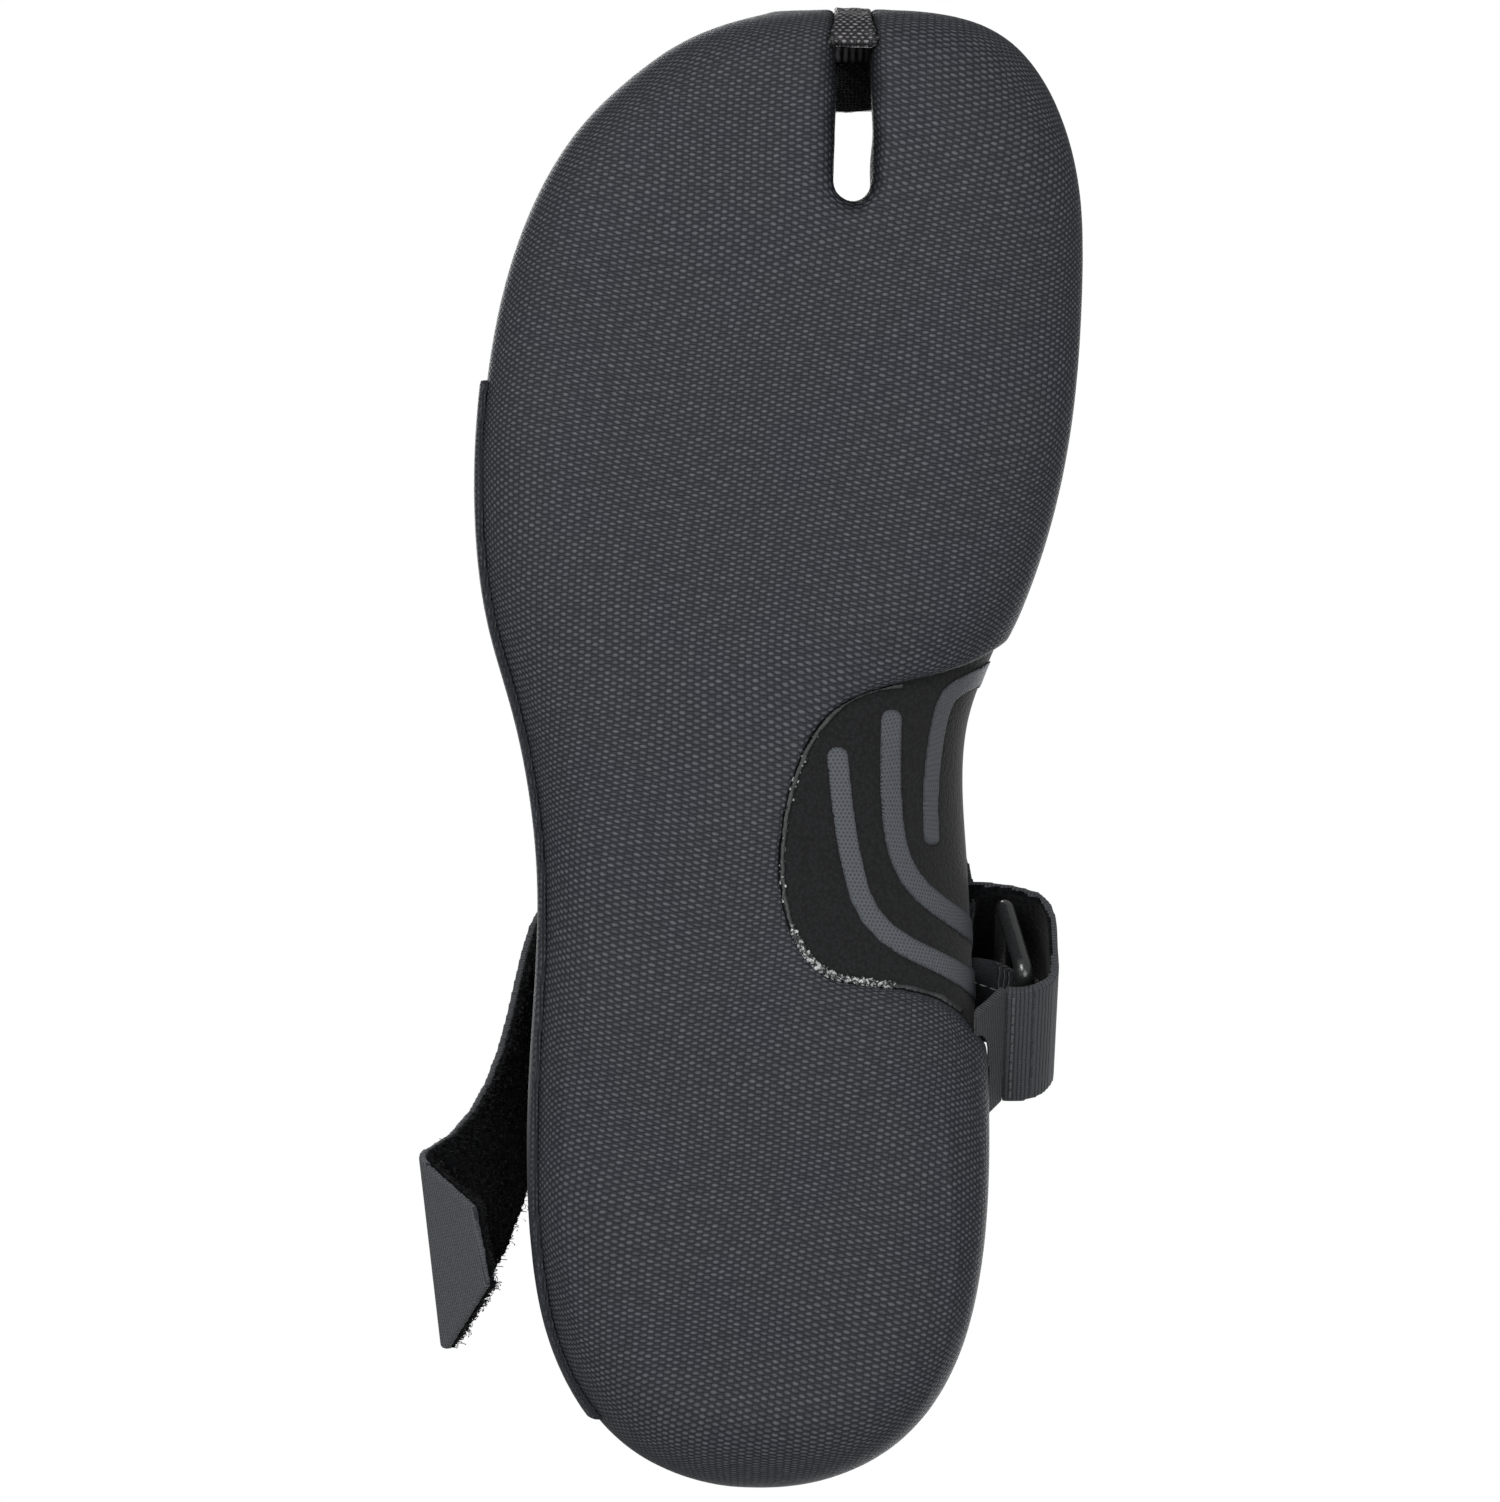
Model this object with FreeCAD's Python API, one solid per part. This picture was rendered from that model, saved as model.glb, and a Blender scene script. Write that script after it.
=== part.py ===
"""A right-foot split-toe neoprene surf boot, as an assembly of its separate sewn, glued and moulded pieces.

Frame: millimetres, +Z up, the sole flat on Z = 0, the toes towards -Y, the big toe and arch towards +X.
The origin is the middle of the boot's length on the heel's centre line.
"""
import FreeCAD
import Part
import math
import os

Vector = FreeCAD.Vector

# ---- driving dimensions -------------------------------------------------------------------------------------
SOLE_T = 2.2            # rubber outsole
NEOPRENE_T = 3.0        # foam sheet of every upper panel
RAND_T = 1.3            # smooth rubber strip along the outer side
PRINT_T = 0.5           # raised rubber print on the arch
TAPE_T = 0.4            # seam tape
BINDING_T = 0.9         # tape folded over the cuff's edge
BEAD_T = 0.8            # glue bead along the arch window's edge
BEAD_W = 1.0
BAR_STEPS = 14          # straight steps that follow each bar's curve
BEAD_STEPS = 24         # and the glued edge's
FLOOR_TOP = 6.2         # top of the board under the foot
SHAFT_TOP = 178.0
AROUND = 40             # points round each section of the last

NEOPRENE_SKIN = SOLE_T                      # depth of the neoprene's outer face below the last's surface
LINING_SKIN = SOLE_T + NEOPRENE_T

# Sections of the last, from toe to cuff. Each lies in the plane through X and its top and sole points:
# top (y, z), sole (y, z), outer side x, inner side x, share of the height where the outer and inner sides are
# widest, roundness of the lower outer, lower inner and upper quarters (2 is an ellipse, more is boxier).
LAST = [
    ((-142.2, 17.0), (-142.2, 10.0), 2.0, 30.0, 0.45, 0.45, 2.2, 2.2, 2.2),
    ((-141.0, 22.0), (-141.0, 5.5), -1.5, 37.5, 0.45, 0.45, 2.3, 2.3, 2.3),
    ((-138.8, 26.5), (-138.8, 2.2), -8.8, 44.0, 0.45, 0.45, 2.5, 2.5, 2.4),
    ((-135.5, 29.5), (-135.5, 0.4), -16.0, 49.0, 0.45, 0.45, 2.7, 2.7, 2.4),
    ((-130.0, 32.0), (-130.0, -0.5), -24.0, 53.8, 0.45, 0.45, 2.8, 2.8, 2.4),
    ((-121.0, 34.0), (-121.0, -0.6), -33.5, 58.2, 0.44, 0.44, 3.4, 3.4, 2.4),
    ((-108.0, 36.5), (-108.0, -0.6), -42.1, 61.4, 0.42, 0.42, 3.7, 3.7, 2.3),
    ((-90.0, 40.0), (-90.0, -0.6), -48.9, 62.0, 0.38, 0.38, 3.8, 3.8, 2.2),
    ((-70.0, 45.0), (-70.0, -0.6), -52.6, 60.8, 0.34, 0.34, 3.8, 3.8, 2.1),
    ((-46.0, 52.5), (-46.0, -0.6), -53.6, 56.7, 0.30, 0.30, 3.8, 3.7, 2.0),
    ((-24.0, 61.0), (-24.0, -0.6), -51.0, 49.3, 0.27, 0.32, 3.8, 3.0, 1.95),
    ((-8.0, 69.5), (-6.0, -0.6), -46.1, 43.0, 0.25, 0.42, 3.8, 2.2, 1.95),
    ((7.0, 78.5), (26.0, -0.6), -41.7, 42.4, 0.22, 0.42, 3.8, 2.1, 2.0),
    ((18.0, 89.0), (58.0, -0.6), -42.5, 43.6, 0.20, 0.26, 3.8, 3.0, 2.1),
    ((24.0, 98.0), (84.0, -0.6), -43.6, 44.3, 0.20, 0.20, 3.9, 3.7, 2.2),
    ((27.5, 105.5), (106.0, -0.6), -43.0, 43.4, 0.22, 0.22, 3.9, 3.9, 2.3),
    ((29.3, 110.5), (122.0, -0.5), -41.3, 41.5, 0.27, 0.27, 3.7, 3.7, 2.3),
    ((30.3, 113.7), (133.0, 2.2), -39.4, 39.6, 0.33, 0.33, 3.2, 3.2, 2.3),
    ((31.0, 116.0), (139.4, 8.8), -37.9, 38.0, 0.38, 0.38, 2.8, 2.8, 2.3),
    ((31.6, 118.6), (142.3, 18.0), -36.6, 36.7, 0.42, 0.42, 2.4, 2.4, 2.3),
    ((32.1, 122.3), (142.5, 32.0), -35.5, 35.5, 0.46, 0.46, 2.2, 2.2, 2.3),
    ((32.6, 128.3), (139.0, 54.0), -34.8, 34.8, 0.49, 0.49, 2.1, 2.1, 2.2),
    ((33.0, 137.0), (133.2, 81.0), -34.9, 34.9, 0.50, 0.50, 2.1, 2.1, 2.2),
    ((33.0, 148.5), (129.3, 111.0), -35.8, 35.8, 0.50, 0.50, 2.1, 2.1, 2.1),
    ((32.8, 160.0), (127.8, 138.0), -36.6, 36.6, 0.50, 0.50, 2.1, 2.1, 2.1),
    ((32.7, 170.0), (127.0, 158.5), -37.0, 37.0, 0.50, 0.50, 2.1, 2.1, 2.1),
    ((32.6, 180.0), (126.6, 175.0), -37.3, 37.3, 0.50, 0.50, 2.1, 2.1, 2.1),
    ((32.5, 190.0), (126.5, 190.0), -37.5, 37.5, 0.50, 0.50, 2.1, 2.1, 2.1),
]


# ---- the last: one skin and its inward offsets --------------------------------------------------------------
X_AXIS = Vector(1, 0, 0)


def frame_points(row):
    """The four outermost points of a section: top, sole, outer side and inner side."""
    top, sole, outer, inner, wide_outer, wide_inner = row[:6]
    top = Vector(0, *top)
    sole = Vector(0, *sole)
    outer_point = sole + (top - sole) * wide_outer + X_AXIS * outer
    inner_point = sole + (top - sole) * wide_inner + X_AXIS * inner
    return [top, sole, outer_point, inner_point]


FRAMES = [frame_points(row) for row in LAST]


def leans(i):
    """How a skin normal at each outermost point of a section splits: (share in the section, share out of it)."""
    before = FRAMES[max(i - 1, 0)]
    after = FRAMES[min(i + 1, len(FRAMES) - 1)]
    top, sole = FRAMES[i][:2]
    up = (top - sole).normalize()
    ahead = up.cross(X_AXIS)
    result = []
    for corner, outward in enumerate((up, up * -1, X_AXIS * -1, X_AXIS)):
        along = after[corner] - before[corner]
        across = X_AXIS if corner < 2 else up
        normal = along.cross(across).normalize()
        if normal.dot(outward) < 0:
            normal = normal * -1
        result.append((normal.dot(outward), normal.dot(ahead)))
    return result


def section_points(i, depth):
    """Points round section i of the last's skin moved in by depth, from under the sole up the inner side."""
    top, sole, outer_point, inner_point = FRAMES[i]
    low_outer, low_inner, high = LAST[i][6:]
    up = (top - sole).normalize()
    ahead = up.cross(X_AXIS)
    at_top, at_sole, at_outer, at_inner = leans(i)
    crown = top - up * (depth * at_top[0])
    floor = sole + up * (depth * at_sole[0])
    outer = outer_point.x + depth * at_outer[0]
    inner = inner_point.x - depth * at_inner[0]
    middle = (outer + inner) / 2
    half = (inner - outer) / 2
    points = []
    for k in range(AROUND):
        angle = 2 * math.pi * k / AROUND - math.pi / 2
        c, s = math.cos(angle), math.sin(angle)
        side, at_side = (inner_point, at_inner) if c > 0 else (outer_point, at_outer)
        end, at_end = (crown, at_top) if s > 0 else (floor, at_sole)
        power = high if s > 0 else (low_inner if c > 0 else low_outer)
        reach = (abs(c) ** power + abs(s) ** power) ** (-1 / power)
        level = Vector(0, side.y, side.z)
        point = level + (end - level) * (abs(s) * reach)
        point.x = middle + half * c * reach
        lean = c * c * at_side[1] + s * s * at_end[1]
        points.append(point - ahead * (depth * lean))
    return points


def form(depth):
    """The solid inside the last's skin moved inwards by depth. It runs on past the cuff, where it is cut off:
    the deeper, the further, so that no two share a top."""
    wires = []
    last_row = len(LAST) - 1
    for i in range(len(LAST)):
        points = section_points(i, depth)
        if i == 0:
            points = [Vector(p.x, LAST[0][0][0] + depth, p.z) for p in points]
        if i == last_row:
            points = [Vector(p.x, p.y, LAST[-1][0][1] + 2 * depth) for p in points]
        curve = Part.BSplineCurve()
        curve.interpolate(Points=points, PeriodicFlag=True, Parameters=list(range(AROUND + 1)))
        wires.append(Part.Wire(curve.toShape()))
    return Part.makeLoft(wires, True, False)


# ---- cutting tools ------------------------------------------------------------------------------------------
FAR = 400.0             # longer than anything here
BELOW = -20.0           # a level under everything


def box(x, y, z):
    """A block between two limits on each axis."""
    return Part.makeBox(x[1] - x[0], y[1] - y[0], z[1] - z[0], Vector(x[0], y[0], z[0]))


def prism(points, direction):
    """A solid swept from a closed outline of straight edges along direction, to both sides."""
    start = [p - direction * 0.5 for p in points]
    wire = Part.makePolygon(start + start[:1])
    return Part.Face(wire).extrude(direction)


def side_prism(outline):
    """A solid of the given (y, z) outline, running right across the boot."""
    return prism([Vector(0, y, z) for y, z in outline], Vector(FAR, 0, 0))


def plan_prism(outline):
    """A solid with a smooth closed outline in plan, running right through the boot."""
    curve = Part.BSplineCurve()
    curve.interpolate(Points=[Vector(x, y, BELOW) for x, y in outline], PeriodicFlag=True)
    return Part.Face(Part.Wire(curve.toShape())).extrude(Vector(0, 0, FAR))


def above(front, back):
    """Everything above the slanting plane through two (y, z) points."""
    slope = (back[1] - front[1]) / (back[0] - front[0])
    left = (-FAR / 2, front[1] + slope * (-FAR / 2 - front[0]))
    right = (FAR / 2, front[1] + slope * (FAR / 2 - front[0]))
    return side_prism([left, right, (FAR / 2, FAR), (-FAR / 2, FAR)])


def slab(normal, low, high):
    """Everything whose distance along a unit normal lies between low and high."""
    turn = FreeCAD.Rotation(Vector(0, 0, 1), normal)
    plate = box((-FAR, FAR), (-FAR, FAR), (low, high))
    plate.Placement = FreeCAD.Placement(Vector(0, 0, 0), turn)
    return plate


def band(centres, thickness, across, axes):
    """A flat band whose centre line runs through 2-D points, as wide as across, in the frame given by axes."""
    origin, u, v = axes
    left, right = [], []
    for i, (a, b) in enumerate(centres):
        before = centres[max(i - 1, 0)]
        after = centres[min(i + 1, len(centres) - 1)]
        da, db = after[0] - before[0], after[1] - before[1]
        size = math.hypot(da, db)
        na, nb = -db / size * thickness / 2, da / size * thickness / 2
        left.append(origin + u * (a + na) + v * (b + nb))
        right.append(origin + u * (a - na) + v * (b - nb))
    edges = []
    for side in (left, right[::-1]):
        curve = Part.BSplineCurve()
        curve.interpolate(Points=side)
        edges.append(curve.toShape())
    edges.insert(1, Part.makeLine(left[-1], right[-1]))
    edges.append(Part.makeLine(right[0], left[0]))
    return Part.Face(Part.Wire(edges)).extrude(across)


def track(points, radius, height, turn=None):
    """A rounded track through (u, v) points, swept up from Z = 0 and then turned."""
    shapes = []
    for i, (u, v) in enumerate(points):
        shapes.append(Part.makeCylinder(radius, height, Vector(u, v, 0)))
        if i:
            pu, pv = points[i - 1]
            length = math.hypot(u - pu, v - pv)
            bar = box((0, length), (-radius, radius), (0, height))
            angle = math.degrees(math.atan2(v - pv, u - pu))
            bar.Placement = FreeCAD.Placement(Vector(pu, pv, 0), FreeCAD.Rotation(Vector(0, 0, 1), angle))
            shapes.append(bar)
    whole = shapes[0].fuse(shapes[1:]).removeSplitter()
    if turn:
        whole = whole.transformGeometry(turn.toMatrix())
    return whole


def halfspace(point, normal):
    """Everything on the side of a plane that its normal points to."""
    low = normal.dot(point) / normal.Length
    return slab(normal.normalize(), low, low + FAR)


def moved_aside(outline, distance, steps):
    """Points along a smooth open line in plan, moved sideways to its right by distance."""
    curve = Part.BSplineCurve()
    curve.interpolate(Points=[Vector(x, y, 0) for x, y in outline])
    first, last = curve.FirstParameter, curve.LastParameter
    points = []
    for i in range(steps + 1):
        at = first + (last - first) * i / steps
        point = curve.value(at)
        way = curve.tangent(at)[0]
        points.append((point.x + way.y * distance, point.y - way.x * distance))
    return points


# ---- toe slot -----------------------------------------------------------------------------------------------
SLOT_X = 17.75
SLOT_HALF = 3.5
SLOT_END = -104.5
SLOT_FRONT = -175.0     # clear of the toes
SLOT_FLOOR, SLOT_ROOF = -5.0, 80.0
LIP_R = 4.0             # how softly the sole rolls into the slot
LIP_STEPS = (0.13, 0.3, 0.55, 1.0)          # shares of the lip's height that its curve is drawn through


def slot(depth):
    """The slot between the big toe and the others, grown by depth, open at the front, flared where it meets the
    sole."""
    levels = [SLOT_FLOOR, depth]
    if depth < LIP_R:
        levels += [depth + (LIP_R - depth) * share for share in LIP_STEPS]
    levels.append(SLOT_ROOF)
    wires = []
    for z in levels:
        half = SLOT_HALF + depth
        if z < LIP_R and depth < LIP_R:
            drop = LIP_R - max(z, depth)
            half = SLOT_HALF + LIP_R - math.sqrt(max((LIP_R - depth) ** 2 - drop ** 2, 0))
        centre_y = SLOT_END - SLOT_HALF
        corners = [
            Vector(SLOT_X - half, SLOT_FRONT, z),
            Vector(SLOT_X - half, centre_y, z),
            Vector(SLOT_X + half, centre_y, z),
            Vector(SLOT_X + half, SLOT_FRONT, z),
        ]
        end = Vector(SLOT_X, centre_y + half, z)
        wires.append(Part.Wire([
            Part.makeLine(corners[0], corners[1]),
            Part.Arc(corners[1], end, corners[2]).toShape(),
            Part.makeLine(corners[2], corners[3]),
            Part.makeLine(corners[3], corners[0]),
        ]))
    return Part.makeLoft(wires, True, True)


# ---- sole ---------------------------------------------------------------------------------------------------
# Upper edge of the wrapped-up outsole in side view, toe to heel.
WRAP_EDGE = [(-150, 27), (-136, 26), (-118, 22.5), (-90, 18.5), (-50, 16), (0, 16), (50, 17), (85, 22),
             (112, 32), (130, 40), (150, 43)]
BRIDGE_DEPTHS = (0.4, 2.4)                  # outer and inner faces of the net across the slot's tip
BRIDGE_SIDE = [(-160, -5), (-134.5, -5), (-133, 19), (-125, 22), (-125, 60), (-160, 60)]    # its limits, (y, z)
SLOT_WALL_TOP = 9.0                         # height of the rubber walls inside the slot, behind its tip
SLOT_WALL_FRONT = -131.0
# Edge of the arch window in plan, from its front corner round to its back one, then clear of the boot.
WINDOW = [(58, -25), (49, -22), (43, -18.2), (27, -13), (13, -7), (7, 3), (3.8, 19), (5.7, 34), (10.5, 41.6),
          (26.6, 45.4), (38, 50), (44, 57), (62, 66), (74, 20)]
BEAD_PATH = WINDOW[3:11]                    # the stretch of the window's edge that shows its glue
# Printed bars on the arch: width, the path underneath in plan, and its run up the side in (y, z).
ARCH_BARS = [
    (4.2, [(14.8, 1.2), (16.2, 14.0), (18.0, 23.4), (20.2, 30.0), (24.0, 34.6), (33.2, 40.0), (46.0, 50.5)],
     [(45.7, 24.0), (49.5, 31.0), (51.0, 40.0)]),
    (4.2, [(25.2, -6.0), (25.0, 2.6), (25.4, 12.1), (26.6, 19.5), (29.5, 25.2), (36.8, 31.4), (46.0, 39.5)],
     [(34.4, 24.0), (38.0, 32.0), (39.5, 44.0)]),
    (3.2, [(33.1, 16.7), (32.9, 8.6), (33.6, 0.0), (34.7, -6.5), (36.6, -11.0), (40.0, -13.2), (46.0, -16.5)],
     [(-13.6, 22.0), (-17.0, 30.0), (-19.0, 41.0)]),
]
RAND_LOW, RAND_HIGH = 8.0, 19.0
RAND_START, RAND_END = -71.0, 128.0
PRINT_REACH = 40.0                          # how far up the printed bars and the bead are looked for
SIDE_PRINT_X = 20.0                         # the bars' runs up the side lie outside this


def wrap_region():
    """Everything below the outsole's upper edge."""
    curve = Part.BSplineCurve()
    curve.interpolate(Points=[Vector(-FAR / 2, y, z) for y, z in WRAP_EDGE])
    ends = [curve.StartPoint, curve.EndPoint]
    low = [Vector(-FAR / 2, p.y, BELOW) for p in ends]
    wire = Part.Wire([
        curve.toShape(),
        Part.makeLine(ends[1], low[1]),
        Part.makeLine(low[1], low[0]),
        Part.makeLine(low[0], ends[0]),
    ])
    return Part.Face(wire).extrude(Vector(FAR, 0, 0))


# ---- the two ankle seams, (y, z) at the front and at the back ------------------------------------------------
LOW_SEAM = ((28.0, 112.0), (128.0, 82.0))
HIGH_SEAM = ((28.0, 140.0), (128.0, 112.0))
SOCK_TOP = 7.0                              # height of the seam between the sock's bottom and its sides
ARCH_BOX = ((-2.0, 80.0), (-32.0, 62.0), (-5.0, 46.0))
VAMP_SEAM = ((-36.0, -10.0), (0.0, 90.0))   # slants back as it climbs
THROAT_ZONE = ((-17.0, 17.0), (-60.0, 60.0), (40.0, 150.0))
HEEL_SEAM_Y = 106.0
HEEL_SEAM_FOOT = 30.0                       # where the heel's seam seal ends, just inside the rubber
SHAFT_SPLIT_Y = 80.0
BINDING_H = 11.0

# ---- strap --------------------------------------------------------------------------------------------------
STRAP_W = 30.0
STRAP_T = 1.8
STRAP_NORMAL = Vector(0.346, 0.704, 0.620).normalize()      # across the strap where it lies on the boot
STRAP_EDGE = 55.5                                           # its toe-side edge's distance along that normal
LOOP_ACROSS = Vector(0, 0.75, 0.66).normalize()             # across the strap where it stands off the boot
LOOP_UP = Vector(0, -0.66, 0.75).normalize()
LOOP_EDGE = 42.5
LOOP_AXES = (LOOP_ACROSS * LOOP_EDGE, X_AXIS, LOOP_UP)
# Centre lines in the loop's own plane, (x, up the loop), from the boot's side out and round.
ANCHOR_LINE = [(34.0, -36.0), (41.0, -28.0), (46.9, -20.6)]
LOOP_LINE = [(47.3, -20.6), (52.5, -20.2), (56.0, -17.5), (56.9, -10.0), (56.9, -1.0), (55.0, 5.0), (49.5, 7.9),
             (42.0, 9.0), (33.0, 9.6)]
ANCHOR_BOX = ((41.0, 80.0), (20.0, 90.0), (4.5, 60.0))
KEEPER_LINE = [(38.0, -8.0), (42.0, -8.3), (46.0, -9.3), (49.0, -11.4), (51.3, -12.4), (53.2, -13.6),
               (53.6, -15.6), (52.6, -17.2)]
RING_R = 1.8
RING_LOW = (51.0, -15.0)                    # the ring's lower and upper bars, (x, up the loop)
RING_HIGH = (47.8, 4.0)
RING_REACH = (0.8, 29.2)                    # its side bars' centres, across the strap from its toe-side edge
RING_CORNER = 2.2
KEEPER_REACH = (4.0, 26.0)
# Planes that end the part of the strap that lies on the boot: a point, and the way out.
STRAP_SIDE = [(-80, 30), (60, 30), (90, 150), (-80, 150)]          # where it lies, (y, z)
TAIL_ROOT = (Vector(-33.5, 22.0, 84.0), Vector(-0.5, 0.5, -0.7))
LOOP_ROOT = (Vector(41.0, 30.0, 35.0), Vector(0.0, 0.66, -0.75))

# The free tail and its folded tip: pairs of points on the toe-side and heel-side edges, from root to end.
TAIL = [
    (Vector(-24.6, 22.7, 77.3), Vector(-29.0, 48.5, 99.0)),
    (Vector(-36.5, 27.0, 78.0), Vector(-38.5, 53.0, 96.5)),
    (Vector(-45.5, 35.5, 73.0), Vector(-43.5, 60.5, 88.0)),
    (Vector(-51.2, 59.5, 54.0), Vector(-46.2, 83.5, 66.0)),
    (Vector(-65.0, 78.2, 33.0), Vector(-60.6, 116.2, 33.0)),
]
TIP = [
    (Vector(-64.6, 80.4, 30.2), Vector(-60.4, 116.8, 30.2)),
    (Vector(-54.6, 88.0, 19.0), Vector(-51.8, 103.0, 18.0)),
]
TAIL_STEPS = 16
WEBBING_T = 1.4
PILE_T = 1.0
KEEPER_T = 1.0
PATCH_T = 1.0
HOOK_PATCH = [(113.0, 57.9), (94.0, 37.5), (59.0, 70.1), (78.0, 90.5)]      # corners, (y, z)
SEAL_HALF = 3.0
SEAL_FOOT = 14.0                            # the vamp's seam seal starts this high, inside the rubber
TAB_T = 1.0
TAB_HALF = 8.0
TAB_ROOT_H = 10.5
TAB_LINE = [(126.9, 178.9), (128.6, 184.0), (129.3, 190.0), (126.8, 195.5), (123.6, 190.5), (124.4, 184.0),
            (125.7, 178.9)]
STITCHES = 11
STITCH_LENGTH = 1.9
STITCH_X = 48.8
THREAD_R = 0.35


def shifted_above(seam, lift):
    """Everything above a seam's plane moved up by lift."""
    (front_y, front_z), (back_y, back_z) = seam
    return above((front_y, front_z + lift), (back_y, back_z + lift))


def stitches(strap):
    """The row of thread that sews the strap's end to its anchor tab, on the side that faces the ground."""
    pitch = STRAP_W / (STITCHES + 1)
    level = LOOP_LINE[0][1] - STRAP_T / 2 - THREAD_R / 2
    start = LOOP_AXES[0] + X_AXIS * STITCH_X + LOOP_UP * level
    rows = []
    for i in range(STITCHES):
        at = start + LOOP_ACROSS * (pitch * (i + 1) - STITCH_LENGTH / 2)
        rows.append(keep_largest(Part.makeCylinder(THREAD_R, STITCH_LENGTH, at, LOOP_ACROSS).cut(strap)))
    return Part.makeCompound(rows)


def along_edges(edge_pairs, steps):
    """More pairs of edge points, along the smooth curves through the given ones."""
    curves = []
    for side in range(2):
        curve = Part.BSplineCurve()
        curve.interpolate(Points=[pair[side] for pair in edge_pairs], Parameters=list(range(len(edge_pairs))))
        curves.append(curve)
    last = len(edge_pairs) - 1
    return [tuple(curve.value(last * i / steps) for curve in curves) for i in range(steps + 1)]


def plate(edge_pairs, near, far):
    """A bent strip through pairs of edge points, between two distances along its own normal, which points away
    from the boot."""
    wires = []
    for i, (toe_side, heel_side) in enumerate(edge_pairs):
        before = edge_pairs[max(i - 1, 0)]
        after = edge_pairs[min(i + 1, len(edge_pairs) - 1)]
        along = (after[0] + after[1]) - (before[0] + before[1])
        normal = (heel_side - toe_side).cross(along).normalize()
        corners = [toe_side + normal * near, heel_side + normal * near,
                   heel_side + normal * far, toe_side + normal * far]
        wires.append(Part.makePolygon(corners + corners[:1]))
    return Part.makeLoft(wires, True, True)


def ring():
    """The spreader ring: a round bar bent into a rectangle with rounded corners."""
    across = LOOP_ACROSS
    low = LOOP_AXES[0] + X_AXIS * RING_LOW[0] + LOOP_UP * RING_LOW[1]
    high = LOOP_AXES[0] + X_AXIS * RING_HIGH[0] + LOOP_UP * RING_HIGH[1]
    up = (high - low).normalize()
    size = (high - low).Length
    near, far = RING_REACH

    def at(a, b):
        return low + across * a + up * b

    r = RING_CORNER
    bend = r * (1 - math.sqrt(0.5))
    edges = []
    corners = [(near, 0, 1, 1), (far, 0, -1, 1), (far, size, -1, -1), (near, size, 1, -1)]
    for i, (a, b, sa, sb) in enumerate(corners):
        into = (at(a, b + sb * r), at(a + sa * r, b))
        if i % 2:
            into = (into[1], into[0])
        middle = at(a + sa * bend, b + sb * bend)
        edges.append(Part.Arc(into[0], middle, into[1]).toShape())
        na, nb, ta, tb = corners[(i + 1) % 4]
        if i % 2:
            edges.append(Part.makeLine(into[1], at(na, nb + tb * r)))
        else:
            edges.append(Part.makeLine(into[1], at(na + ta * r, nb)))
    path = Part.Wire(edges)
    start = path.OrderedVertexes[0].Point
    first = path.OrderedEdges[0]
    tangent = first.tangentAt(first.FirstParameter)
    profile = Part.Wire(Part.makeCircle(RING_R, start, tangent))
    return path.makePipeShell([profile], True, False)


# ---- the boot -----------------------------------------------------------------------------------------------
def keep_largest(shape):
    """The shape's biggest solid: cuts along curved skins can leave crumbs."""
    return max(shape.Solids, key=lambda solid: solid.Volume)


def layer(depth, under, zone):
    """What lies inside a zone between the last's skin at a depth and a solid under it."""
    return form(depth).common(zone).cut(under)


def everywhere(low=BELOW, high=FAR):
    """A level layer of space."""
    return box((-FAR, FAR), (-FAR, FAR), (low, high))


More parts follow.
